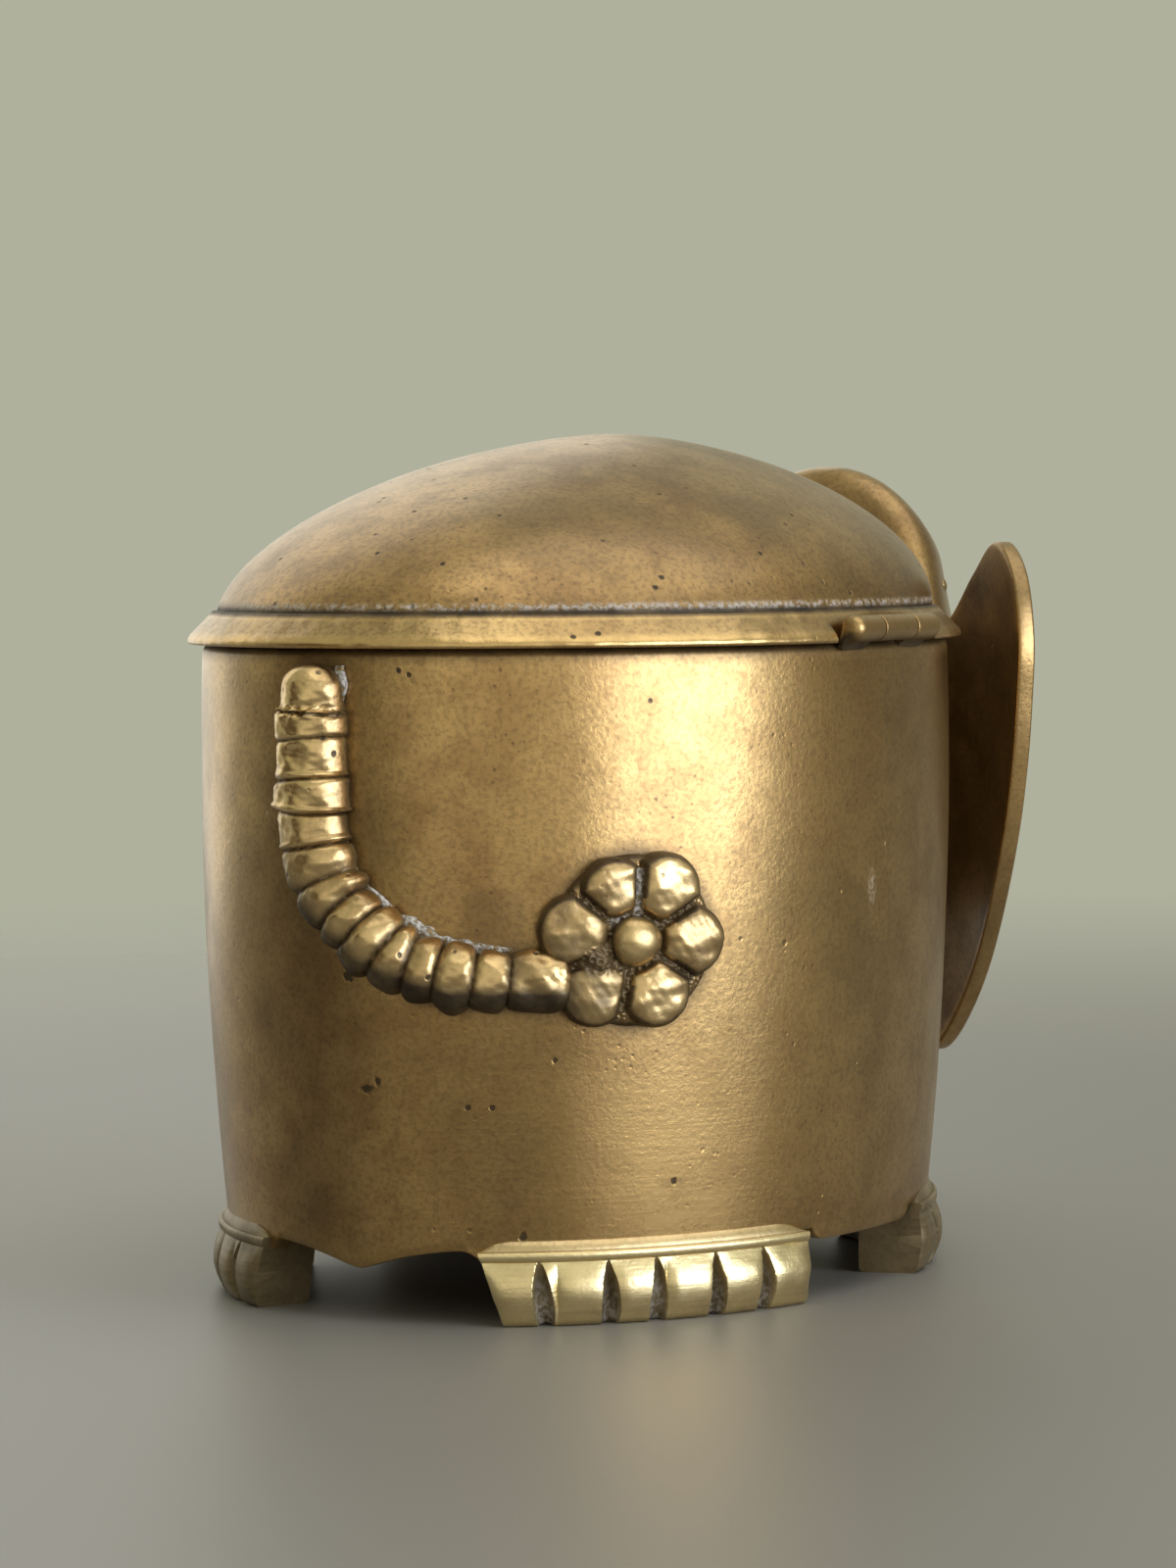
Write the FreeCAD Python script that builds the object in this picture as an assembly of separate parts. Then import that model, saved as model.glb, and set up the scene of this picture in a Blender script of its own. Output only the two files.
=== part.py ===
import FreeCAD, Part
import math
import os

# Brass trinket box in the shape of an elephant. Millimetres, +Z up, floor at z = 0.
# The head looks along -Y, the tail is at +Y, and the elephant's right side is at -X.
# The pieces are drawn round the middle of the barrel, then moved along Y so that the origin
# lies midway between the front of the trunk and the back of the tail.

# Barrel of the body, an oval pot that swells towards its upper half
BODY_LENGTH = 81.2
BODY_WIDTH = 62.6
WIDEST_HEIGHT = 46.0
FOOT_INSET = 2.1
RIM_HEIGHT = 57.4
BODY_WALL = 2.0
SHOULDER_RADIUS = 0.8
FLOOR_THICKNESS = 1.8

# Lower edge of the barrel: a point at each end and a straight tab on each flank
APRON_DROP = 1.9
APRON_GAP = 1.6
FLANK_TAB_DROP = 1.1
FLANK_TAB_GAP = 1.6

# Four feet, each a curved block with its face cut into toes
FOOT_HEIGHT = 6.4
FOOT_DEPTH = 7.0
FOOT_PROUD = 0.9
FOOT_LEAN = 0.7
LEDGE_HEIGHT = 1.1
LEDGE_PROUD = 0.35
FOOT_START = 25.0
FOOT_END = 74.0
FOOT_SPLAY = 2.5
TOES = 6
GROOVE_WIDTH = 1.7
GROOVE_TIP = 0.3

# Lid: a bevelled band, a dome that leans towards the head, and a ring that drops into the mouth
LID_OVERHANG = 1.3
BAND_HEIGHT = 2.9
BAND_EDGE = 0.6
BAND_BEVEL = 2.3
BAND_LEDGE = 0.35
DOME_HEIGHT = 15.7
LID_LEAN = 5.0
LID_WALL = 1.6
DOME_SHOULDER = 1.70
DOME_CROWN = 1.75
RING_PLAY = 0.6
RING_WALL = 1.2
RING_DROP = 2.4

# Hinge on the right flank, level with the band of the lid
HINGE_LENGTH = 16.0
HINGE_BACK = 1.0
HINGE_STANDOFF = 0.9
HINGE_RISE = 1.25
BARREL_DIAMETER = 2.3
PIN_DIAMETER = 1.1
PIN_PLAY = 0.1
LID_KNUCKLE = 6.0
KNUCKLE_GAP = 0.25
POST_WIDTH = 1.5
POST_SINK = 1.2
POST_REACH = 1.3
NOTCH_GAP = 0.7
NOTCH_DEPTH_GAP = 0.4
WEB_LIFT = 0.35
WEB_THICKNESS = 1.5

# Head: a hollow ball cut to the front of the barrel, with room for the lid behind it
HEAD_AHEAD = 1.4
HEAD_BELOW_RIM = 5.4
HEAD_HALF_WIDTH = 16.0
HEAD_HALF_LENGTH = 17.0
HEAD_HALF_HEIGHT = 22.0
HEAD_WALL = 2.2
HEAD_GAP = 1.2
EYE_RADIUS = 1.6
EYE_TURN = 58.0
EYE_LIFT = 10.0

# Ears: cupped plates that stand out from the sides of the head and slope back
EAR_THICKNESS = 1.7
EAR_SINK = 1.4
EAR_AHEAD = 1.0
EAR_BACK_ANGLE = 38.0
EAR_CUP_RADIUS = 60.0
EAR_REACH = 21.5
EAR_RISE = 14.0
EAR_FALL = 34.7
EAR_OUTLINE = [
    (-0.06, 0.80), (0.22, 0.845), (0.46, 0.94), (0.68, 1.0), (0.90, 0.94), (1.0, 0.82), (0.97, 0.70),
    (0.90, 0.57), (0.76, 0.41), (0.48, 0.18), (0.20, 0.03), (0.03, 0.0), (-0.05, 0.08), (-0.07, 0.42),
]

# Trunk: a tapering ringed tube that hangs from the face and curls forward
TRUNK_SINK = 5.5
TRUNK_BELOW = 4.0
TRUNK_START_ANGLE = -30.0
TRUNK_HANG_ANGLE = -100.0
TRUNK_TIP_ANGLE = -10.0
TRUNK_UPPER_BEND = 14.0
TRUNK_RUN = 8.0
TRUNK_LOWER_BEND = 9.0
TRUNK_ROOT_RADIUS = 7.2
TRUNK_TIP_RADIUS = 3.2
TRUNK_RINGS = 12
TRUNK_GROOVE = 0.45

# Tusks
TUSK_SIDE = 7.0
TUSK_SINK = 9.0
TUSK_BELOW = 10.0
TUSK_LENGTH = 17.0
TUSK_ROOT_RADIUS = 2.1
TUSK_TIP_RADIUS = 0.8
TUSK_DIP = 22.0
TUSK_SPREAD = 12.0

# Tail: a ringed rod that drops from under the rim and sweeps round to the right flank
TAIL_TOP_GAP = 1.2
TAIL_ANGLE = -2.5
TAIL_DROP = 12.2
TAIL_FALL = 14.5
TAIL_SWEEP = 26.5
TAIL_ROOT_RADIUS = 2.9
TAIL_END_RADIUS = 2.5
TAIL_STANDOFF = 0.9
TAIL_CAP = 4.0
TAIL_RINGS = 12
TAIL_GROOVE = 0.4

# Flower at the end of the tail, with a riveted boss
FLOWER_ANGLE = 44.0
FLOWER_RISE = 3.2
PETALS = 6
PETAL_TURN = -4.0
PETAL_RING = 4.8
PETAL_HALF_LENGTH = 2.9
PETAL_HALF_WIDTH = 2.6
PETAL_RELIEF = 2.5
FLOWER_DISC_RADIUS = 4.6
FLOWER_DISC_RELIEF = 1.7
BOSS_RADIUS = 1.9
BOSS_RELIEF = 3.2
RIVET_DIAMETER = 1.6
RIVET_SINK = 1.2

# Sections along the barrel, points along the dome's curve, circles along the rounded cap and along
# each ring of a ringed rod, and points along the three stretches of the tail
BARREL_SECTIONS = 7
DOME_STEPS = 14
CAP_STEPS = 6
RING_STEPS = 4
TAIL_DROP_STEPS = 24
TAIL_BEND_STEPS = 60
TAIL_RUN_STEPS = 24

# Overlength of cutting shapes past the faces they cut
SPARE = 2.0

V = FreeCAD.Vector
UP = V(0, 0, 1)


def swell(z):
    """How far the barrel's wall lies inside its widest oval at height z."""
    return FOOT_INSET * ((z - WIDEST_HEIGHT) / (WIDEST_HEIGHT - FOOT_HEIGHT)) ** 2


def oval(inset, z):
    """Closed oval at height z, the widest oval of the body drawn in by inset."""
    end = V(0, BODY_LENGTH / 2 - inset, z)
    side = V(inset - BODY_WIDTH / 2, 0, z)
    return Part.Wire(Part.Ellipse(end, side, V(0, 0, z)).toShape())


def oval_point(inset, angle, z):
    """Point of that oval; the angle runs from the tail towards the right flank."""
    turn = math.radians(angle)
    return V((inset - BODY_WIDTH / 2) * math.sin(turn), (BODY_LENGTH / 2 - inset) * math.cos(turn), z)


def pot(inset, bottom, top):
    """Solid that follows the swell of the barrel, drawn in by inset."""
    step = (top - bottom) / (BARREL_SECTIONS - 1)
    heights = [bottom + step * i for i in range(BARREL_SECTIONS)]
    return Part.makeLoft([oval(inset + swell(z), z) for z in heights], True, False)


def stack(levels):
    """Solid through straight-sided ovals, each given as (inset, height)."""
    return Part.makeLoft([oval(inset, z) for inset, z in levels], True, True)


def block(x0, x1, y0, y1, z0, z1):
    return Part.makeBox(x1 - x0, y1 - y0, z1 - z0, V(x0, y0, z0))


def rod(radius, start, end):
    along = end - start
    return Part.makeCylinder(radius, along.Length, start, along)


def mirrored(shape, normal):
    return shape.mirror(V(0, 0, 0), normal)


def line(start, end):
    return Part.LineSegment(start, end).toShape()


def face_of(edges):
    return Part.Face(Part.Wire(edges))


def ringed_rod(stations):
    """Ruled solid through circles, each given as (centre, direction, steady side, radius)."""
    wires = []
    for centre, along, side, radius in stations:
        circle = Part.Circle(centre, along, radius)
        circle.XAxis = side
        wires.append(Part.Wire(circle.toShape()))
    return Part.makeLoft(wires, True, True)


def ring_profile(length, rings, cap, root, end, groove):
    """Stations (distance, radius) of a ringed rod: a rounded cap, then rings with grooves between."""
    points = []
    for i in range(1, CAP_STEPS):
        share = (i / CAP_STEPS) ** 2
        points.append((cap * share, root * math.sqrt(1 - (1 - share) ** 2)))
    pitch = (length - cap) / rings
    for i in range(rings * RING_STEPS + 1):
        share = i % RING_STEPS / RING_STEPS
        body = root + (end - root) * i / (rings * RING_STEPS)
        points.append((cap + pitch * i / RING_STEPS, body - groove * (2 * share - 1) ** 4))
    return points


LENGTH_HALF = BODY_LENGTH / 2
WIDTH_HALF = BODY_WIDTH / 2
HEAD_FORWARD = LENGTH_HALF + HEAD_AHEAD
HEAD_MIDDLE = RIM_HEIGHT - HEAD_BELOW_RIM
HEAD_FRONT = HEAD_FORWARD + HEAD_HALF_LENGTH
LID_TOP = RIM_HEIGHT + BAND_HEIGHT + DOME_HEIGHT
REACH = LENGTH_HALF + HEAD_FRONT
RIM_INSET = swell(RIM_HEIGHT)
FLOOR_TOP = FOOT_HEIGHT + FLOOR_THICKNESS
APRON_TIP = FOOT_HEIGHT - APRON_DROP

barrel_outside = pot(0.0, APRON_TIP, RIM_HEIGHT)
barrel_inside = pot(BODY_WALL, APRON_TIP - SPARE, RIM_HEIGHT + SPARE)

# Hinge line
axis_x = RIM_INSET - WIDTH_HALF - HINGE_STANDOFF
axis_z = RIM_HEIGHT + HINGE_RISE
hinge_rear = HINGE_BACK + HINGE_LENGTH / 2
hinge_front = hinge_rear - HINGE_LENGTH
lid_rear = HINGE_BACK + LID_KNUCKLE / 2
lid_front = lid_rear - LID_KNUCKLE
notch_face = axis_x + BARREL_DIAMETER / 2 + NOTCH_DEPTH_GAP


def hinge_rod(diameter, front, rear):
    return rod(diameter / 2, V(axis_x, front, axis_z), V(axis_x, rear, axis_z))


pin = hinge_rod(PIN_DIAMETER, hinge_front, hinge_rear)


def hinge_post(front, rear):
    """Knuckle of the body with the post that is let into the rim."""
    outer = axis_x - POST_WIDTH / 2
    inner = RIM_INSET - WIDTH_HALF + POST_REACH
    bottom = RIM_HEIGHT - POST_SINK
    foot = block(outer, inner, front, rear, bottom, RIM_HEIGHT)
    neck = block(outer, outer + POST_WIDTH, front, rear, bottom, axis_z)
    knuckle = hinge_rod(BARREL_DIAMETER, front, rear)
    return foot.fuse([neck, knuckle]).removeSplitter().cut(pin)


post_rear = hinge_post(lid_rear + KNUCKLE_GAP, hinge_rear)
post_front = hinge_post(hinge_front, lid_front - KNUCKLE_GAP)
web_bottom = RIM_HEIGHT + WEB_LIFT
knuckle_web = block(axis_x, notch_face, lid_front, lid_rear, web_bottom, web_bottom + WEB_THICKNESS)
lid_knuckle = hinge_rod(BARREL_DIAMETER, lid_front, lid_rear).fuse(knuckle_web)
lid_knuckle = lid_knuckle.cut(hinge_rod(PIN_DIAMETER + 2 * PIN_PLAY, hinge_front, hinge_rear))

# Body barrel with its apron, each side of the point an arc that leaves the lower edge level
foot_inset = swell(FOOT_HEIGHT) - FOOT_PROUD
apron_half = -oval_point(foot_inset, FOOT_START - FOOT_SPLAY, 0.0).x - APRON_GAP
apron_radius = (apron_half ** 2 + APRON_DROP ** 2) / (2 * APRON_DROP)
half_turn = math.asin(apron_half / apron_radius) / 2


def apron_point(x, z):
    return V(x, -LENGTH_HALF, z)


def apron_side(side):
    """Level run, arc and outer edge of the space under the apron, from its tip to one side."""
    rise = apron_radius * (1 - math.cos(half_turn))
    middle = apron_point(side * (apron_half - apron_radius * math.sin(half_turn)), FOOT_HEIGHT - rise)
    crown = apron_point(side * apron_half, FOOT_HEIGHT)
    corner = apron_point(side * WIDTH_HALF, FOOT_HEIGHT)
    return [
        Part.Arc(apron_point(0, APRON_TIP), middle, crown).toShape(),
        line(crown, corner),
        line(corner, apron_point(side * WIDTH_HALF, APRON_TIP - SPARE)),
    ]


apron_floor = line(*[apron_point(side * WIDTH_HALF, APRON_TIP - SPARE) for side in (-1, 1)])
below = face_of(Part.__sortEdges__(apron_side(-1) + apron_side(1) + [apron_floor]))
below = below.extrude(V(0, BODY_LENGTH, 0))
tab_half = oval_point(foot_inset, FOOT_END, 0.0).y - FLANK_TAB_GAP
tab_bottom = FOOT_HEIGHT - FLANK_TAB_DROP
flank_tab = block(-REACH, REACH, -tab_half, tab_half, tab_bottom, FOOT_HEIGHT + SPARE)
corners = [e for e in flank_tab.Edges if e.BoundBox.XLength > REACH and e.BoundBox.ZMax < FOOT_HEIGHT]
below = below.cut(flank_tab.makeFillet(FLANK_TAB_DROP, corners))
rim_edge = [e for e in barrel_outside.Edges if e.BoundBox.ZMin > RIM_HEIGHT - SHOULDER_RADIUS]
barrel = barrel_outside.makeFillet(SHOULDER_RADIUS, rim_edge).cut(below).cut(barrel_inside)
barrel = barrel.cut([post_rear, post_front])

floor_plate = barrel_inside.common(block(-REACH, REACH, -REACH, REACH, FOOT_HEIGHT, FLOOR_TOP))

# Feet
ledge_base = FOOT_HEIGHT - LEDGE_HEIGHT
foot_ring = stack([
    (foot_inset + FOOT_LEAN, 0.0),
    (foot_inset + LEDGE_PROUD, ledge_base),
    (foot_inset, ledge_base + LEDGE_PROUD),
    (foot_inset, FOOT_HEIGHT),
])
foot_ring = foot_ring.cut(stack([(FOOT_DEPTH, -SPARE), (FOOT_DEPTH, FOOT_HEIGHT + SPARE)]))


def wedge_at(z, start):
    """Four-sided outline from the middle of the body, wide enough to cut one foot out of the ring."""
    rays = [oval_point(foot_inset, angle, 0.0) * 2 for angle in (start, (start + FOOT_END) / 2, FOOT_END)]
    middle = V(0, 0, z)
    return Part.makePolygon([middle] + [middle + ray for ray in rays] + [middle])


foot_outlines = [wedge_at(0.0, FOOT_START), wedge_at(FOOT_HEIGHT, FOOT_START - FOOT_SPLAY)]
foot_wedge = Part.makeLoft(foot_outlines, True, True)
foot = foot_ring.common(foot_wedge)
toe_step = (FOOT_END - FOOT_START) / TOES
grooves = []
for toe in range(1, TOES):
    low = oval_point(foot_inset + FOOT_LEAN, FOOT_START + toe * toe_step, 0.0)
    high = oval_point(foot_inset + LEDGE_PROUD, FOOT_START + toe * toe_step, ledge_base)
    rise = high - low
    grooves.append(Part.makeCone(GROOVE_WIDTH / 2, GROOVE_TIP / 2, rise.Length, low, rise))
rear_right_foot = foot.cut(grooves)
rear_left_foot = mirrored(rear_right_foot, V(1, 0, 0))
front_right_foot = mirrored(rear_right_foot, V(0, 1, 0))
front_left_foot = mirrored(rear_left_foot, V(0, 1, 0))

# Lid
band_top = RIM_HEIGHT + BAND_HEIGHT
band_inset = RIM_INSET - LID_OVERHANG
ring_inset = RIM_INSET + BODY_WALL + RING_PLAY
dome_inset = band_inset + BAND_BEVEL + BAND_LEDGE
band = stack([
    (band_inset, RIM_HEIGHT),
    (band_inset, RIM_HEIGHT + BAND_EDGE),
    (band_inset + BAND_BEVEL, band_top),
])
band = band.cut(stack([(ring_inset, RIM_HEIGHT - SPARE), (ring_inset, band_top + SPARE)]))
notch_front = hinge_front - NOTCH_GAP
notch_rear = hinge_rear + NOTCH_GAP
band = band.cut(block(-REACH, notch_face, notch_front, notch_rear, RIM_HEIGHT - SPARE, band_top + SPARE))
ring_low = RIM_HEIGHT - RING_DROP
ring_hole = ring_inset + RING_WALL
locating_ring = stack([(ring_inset, ring_low), (ring_inset, band_top)])
locating_ring = locating_ring.cut(stack([(ring_hole, ring_low - SPARE), (ring_hole, band_top + SPARE)]))


def dome(inset, height, skirt):
    """Leaning dome over an oval, its side a rounded power curve, with a straight skirt below the base."""
    radius = LENGTH_HALF - inset
    points = []
    for i in range(DOME_STEPS):
        turn = math.pi / 2 * i / DOME_STEPS
        out = radius * math.cos(turn) ** (2 / DOME_CROWN)
        points.append(V(0, out, height * math.sin(turn) ** (2 / DOME_SHOULDER)))
    points.append(V(0, 0, height))
    curve = Part.BSplineCurve()
    curve.interpolate(points, InitialTangent=UP, FinalTangent=V(0, -1, 0))
    low = V(0, radius, -skirt)
    profile = face_of([
        curve.toShape(),
        line(V(0, 0, height), V(0, 0, -skirt)),
        line(V(0, 0, -skirt), low),
        line(low, points[0]),
    ])
    shape = profile.revolve(V(0, 0, 0), UP, 360)
    matrix = FreeCAD.Matrix()
    matrix.A11 = (WIDTH_HALF - inset) / radius
    matrix.A23 = -LID_LEAN / height
    matrix.A34 = band_top
    return shape.transformGeometry(matrix)


lid_dome = dome(dome_inset, DOME_HEIGHT, SPARE)
lid_dome = lid_dome.cut(dome(dome_inset + LID_WALL, DOME_HEIGHT - LID_WALL, 2 * SPARE))
lid_dome = lid_dome.common(block(-REACH, REACH, -REACH, REACH, band_top, LID_TOP + SPARE))


# Head
def ball(x, y, z):
    """Ball with these half sizes, in the middle of the head."""
    matrix = FreeCAD.Matrix()
    matrix.A11, matrix.A22, matrix.A33 = x, y, z
    matrix.A24, matrix.A34 = -HEAD_FORWARD, HEAD_MIDDLE
    return Part.makeSphere(1.0).transformGeometry(matrix)


def lid_room(gap):
    """Space behind the head that the closed lid and its swing need, with this much room round it."""
    return stack([(band_inset - gap, RIM_HEIGHT - gap), (band_inset - gap, LID_TOP + REACH)])


head_sizes = (HEAD_HALF_WIDTH, HEAD_HALF_LENGTH, HEAD_HALF_HEIGHT)
head_ball = ball(*head_sizes)
head_hollow = ball(*[size - HEAD_WALL for size in head_sizes]).cut(lid_room(HEAD_GAP + HEAD_WALL))
front_half = block(-REACH, REACH, -2 * REACH, 0.0, 0.0, LID_TOP + REACH)
head = head_ball.common(front_half).cut(lid_room(HEAD_GAP)).cut(head_hollow).cut(barrel_outside)

eyes = {}
for side, name in ((-1, "eye_right"), (1, "eye_left")):
    turn = math.radians(EYE_TURN)
    lift = math.asin(EYE_LIFT / HEAD_HALF_HEIGHT)
    spot = V(
        side * HEAD_HALF_WIDTH * math.sin(turn) * math.cos(lift),
        -HEAD_FORWARD - HEAD_HALF_LENGTH * math.cos(turn) * math.cos(lift),
        HEAD_MIDDLE + EYE_LIFT,
    )
    eyes[name] = Part.makeSphere(EYE_RADIUS, spot).cut(head_ball)

# Ears
ear_bottom = HEAD_MIDDLE - EAR_FALL
ear_height = EAR_RISE + EAR_FALL
ear_points = []
for reach, rise in EAR_OUTLINE:
    ear_points.append(V(reach * EAR_REACH, 0, ear_bottom + rise * ear_height))
ear_curve = Part.BSplineCurve()
ear_curve.interpolate(ear_points, PeriodicFlag=True)
ear_sheet = face_of([ear_curve.toShape()]).extrude(V(0, EAR_CUP_RADIUS / 2, 0))
ear_sheet.translate(V(0, -EAR_CUP_RADIUS / 4, 0))
cup_centre = V(EAR_REACH / 2, EAR_CUP_RADIUS, ear_bottom - SPARE)
cup_height = ear_height + 2 * SPARE
cup = Part.makeCylinder(EAR_CUP_RADIUS + EAR_THICKNESS / 2, cup_height, cup_centre)
cup = cup.cut(Part.makeCylinder(EAR_CUP_RADIUS - EAR_THICKNESS / 2, cup_height, cup_centre))
ear = ear_sheet.common(cup)
ear.rotate(V(0, 0, 0), UP, EAR_BACK_ANGLE)
ear.translate(V(HEAD_HALF_WIDTH - EAR_SINK, -HEAD_FORWARD - EAR_AHEAD, 0))
ear_left = ear.cut(head_ball)
ear_right = mirrored(ear_left, V(1, 0, 0))


# Trunk
def trunk_path(distance):
    """Centre and direction of the trunk at a distance along it: a bend, a straight run and a curl."""
    start = math.radians(TRUNK_START_ANGLE)
    hang = math.radians(TRUNK_HANG_ANGLE)
    tip = math.radians(TRUNK_TIP_ANGLE)
    upper = TRUNK_UPPER_BEND * (start - hang)
    forward = HEAD_FRONT - TRUNK_SINK
    height = HEAD_MIDDLE - TRUNK_BELOW
    turn = start - min(distance, upper) / TRUNK_UPPER_BEND
    forward += TRUNK_UPPER_BEND * (math.sin(start) - math.sin(turn))
    height += TRUNK_UPPER_BEND * (math.cos(turn) - math.cos(start))
    run = min(max(distance - upper, 0.0), TRUNK_RUN)
    forward += run * math.cos(hang)
    height += run * math.sin(hang)
    curl = max(distance - upper - TRUNK_RUN, 0.0) / TRUNK_LOWER_BEND
    if curl > 0:
        turn = min(hang + curl, tip)
        forward += TRUNK_LOWER_BEND * (math.sin(turn) - math.sin(hang))
        height += TRUNK_LOWER_BEND * (math.cos(hang) - math.cos(turn))
    return V(0, -forward, height), V(0, -math.cos(turn), math.sin(turn))


trunk_length = TRUNK_UPPER_BEND * math.radians(TRUNK_START_ANGLE - TRUNK_HANG_ANGLE) + TRUNK_RUN
trunk_length += TRUNK_LOWER_BEND * math.radians(TRUNK_TIP_ANGLE - TRUNK_HANG_ANGLE)
trunk_cap = trunk_length / TRUNK_RINGS
trunk_radii = (TRUNK_ROOT_RADIUS, TRUNK_TIP_RADIUS)
trunk_stations = []
for distance, radius in ring_profile(trunk_length, TRUNK_RINGS, trunk_cap, *trunk_radii, TRUNK_GROOVE):
    centre, along = trunk_path(distance)
    trunk_stations.append((centre, along, V(1, 0, 0), radius))
trunk = ringed_rod(trunk_stations).cut(head_ball)

# Tusks
dip, spread = math.radians(TUSK_DIP), math.radians(TUSK_SPREAD)
tusk_along = V(math.sin(spread) * math.cos(dip), -math.cos(spread) * math.cos(dip), -math.sin(dip))
tusk_root = V(TUSK_SIDE, TUSK_SINK - HEAD_FRONT, HEAD_MIDDLE - TUSK_BELOW)
tusk_end = tusk_root + tusk_along * TUSK_LENGTH
tusk = Part.makeCone(TUSK_ROOT_RADIUS, TUSK_TIP_RADIUS, TUSK_LENGTH, tusk_root, tusk_along)
tusk = tusk.fuse(Part.makeSphere(TUSK_TIP_RADIUS, tusk_end)).removeSplitter()
tusk_left = tusk.cut(head_ball).cut(trunk)
tusk_right = mirrored(tusk_left, V(1, 0, 0))


# Tail
def wall_point(angle, z, out):
    """Point that stands out from the barrel's wall by out."""
    return oval_point(swell(z) - out, angle, z)


tail_top = RIM_HEIGHT - TAIL_TOP_GAP
tail_bend = tail_top - TAIL_DROP
tail_low = tail_bend - TAIL_FALL
tail_turn = TAIL_ANGLE + TAIL_SWEEP
route = []
for i in range(TAIL_DROP_STEPS):
    route.append((TAIL_ANGLE, tail_top - TAIL_DROP * i / TAIL_DROP_STEPS))
for i in range(TAIL_BEND_STEPS):
    turn = math.pi / 2 * i / TAIL_BEND_STEPS
    route.append((tail_turn - TAIL_SWEEP * math.cos(turn), tail_bend - TAIL_FALL * math.sin(turn)))
flower_width = math.degrees(PETAL_RING / WIDTH_HALF)
for i in range(TAIL_RUN_STEPS + 1):
    share = i / TAIL_RUN_STEPS
    route.append((tail_turn + (FLOWER_ANGLE - flower_width - tail_turn) * share, tail_low))
tail_points = [wall_point(angle, z, TAIL_STANDOFF) for angle, z in route]
tail_marks = [0.0]
for a, b in zip(tail_points, tail_points[1:]):
    tail_marks.append(tail_marks[-1] + (b - a).Length)


def tail_station(distance, radius):
    i = max(k for k in range(len(tail_marks) - 1) if tail_marks[k] <= distance)
    a, b = tail_points[i], tail_points[i + 1]
    centre = a + (b - a) * ((distance - tail_marks[i]) / (tail_marks[i + 1] - tail_marks[i]))
    before, after = tail_points[max(i - 2, 0)], tail_points[min(i + 3, len(tail_points) - 1)]
    along = (after - before).normalize()
    out = V(centre.x / WIDTH_HALF ** 2, centre.y / LENGTH_HALF ** 2, 0)
    side = (out - along * out.dot(along)).normalize()
    return centre, along, side, radius


tail_radii = (TAIL_ROOT_RADIUS, TAIL_END_RADIUS)
tail_profile = ring_profile(tail_marks[-1], TAIL_RINGS, TAIL_CAP, *tail_radii, TAIL_GROOVE)
tail = ringed_rod([tail_station(distance, radius) for distance, radius in tail_profile])

# Flower and rivet
flower_centre = wall_point(FLOWER_ANGLE, tail_low + FLOWER_RISE, 0.0)
flower_out = V(flower_centre.x / WIDTH_HALF ** 2, flower_centre.y / LENGTH_HALF ** 2, 0).normalize()
flower_side = UP.cross(flower_out)


def on_flower(shape):
    """Moves a shape from its own frame, where Z is outward, onto the flower's place."""
    matrix = FreeCAD.Matrix()
    matrix.A11, matrix.A21, matrix.A31 = flower_side.x, flower_side.y, flower_side.z
    matrix.A12, matrix.A22, matrix.A32 = UP.x, UP.y, UP.z
    matrix.A13, matrix.A23, matrix.A33 = flower_out.x, flower_out.y, flower_out.z
    matrix.A14, matrix.A24, matrix.A34 = flower_centre.x, flower_centre.y, flower_centre.z
    return shape.transformed(matrix)


petals = []
for i in range(PETALS):
    stretch = FreeCAD.Matrix()
    stretch.A11, stretch.A22, stretch.A33 = PETAL_HALF_LENGTH, PETAL_HALF_WIDTH, PETAL_RELIEF
    stretch.A14 = PETAL_RING
    petal = Part.makeSphere(1.0).transformGeometry(stretch)
    petal.rotate(V(0, 0, 0), UP, PETAL_TURN + 360 * i / PETALS)
    petals.append(petal)
disc = Part.makeCylinder(FLOWER_DISC_RADIUS, FLOWER_DISC_RELIEF + PETAL_RELIEF, V(0, 0, -PETAL_RELIEF))
shank = rod(RIVET_DIAMETER / 2, V(0, 0, -RIVET_SINK), V(0, 0, BOSS_RELIEF - BOSS_RADIUS / 2))
boss = Part.makeSphere(BOSS_RADIUS, V(0, 0, BOSS_RELIEF - BOSS_RADIUS))
boss = boss.common(Part.makeCylinder(BOSS_RADIUS, BOSS_RELIEF, V(0, 0, FLOWER_DISC_RELIEF)))
rivet = on_flower(shank.fuse(boss))
flower = on_flower(disc.fuse(petals)).cut(rivet).cut(barrel_outside)
tail = tail.cut(barrel_outside).cut(flower)
barrel = barrel.cut(rivet)

nodes = {
    "body_barrel": barrel,
    "floor_plate": floor_plate,
    "foot_rear_right": rear_right_foot,
    "foot_rear_left": rear_left_foot,
    "foot_front_right": front_right_foot,
    "foot_front_left": front_left_foot,
    "head_shell": head,
    "eye_right": eyes["eye_right"],
    "eye_left": eyes["eye_left"],
    "ear_right": ear_right,
    "ear_left": ear_left,
    "trunk": trunk,
    "tusk_right": tusk_right,
    "tusk_left": tusk_left,
    "tail": tail,
    "tail_flower": flower,
    "flower_rivet": rivet,
    "hinge_post_rear": post_rear,
    "hinge_post_front": post_front,
    "hinge_pin": pin,
    "lid_dome": lid_dome,
    "lid_band": band,
    "lid_ring": locating_ring,
    "hinge_knuckle_lid": lid_knuckle,
}

whole = Part.makeCompound(list(nodes.values())).optimalBoundingBox(False, False)
os.makedirs("parts", exist_ok=True)
for name, shape in nodes.items():
    shape.translate(V(0, -whole.Center.y, 0))
    shape.exportStep("parts/" + name + ".step")
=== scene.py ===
import bpy
import math
import numpy as np
from mathutils import Matrix, Vector

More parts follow.
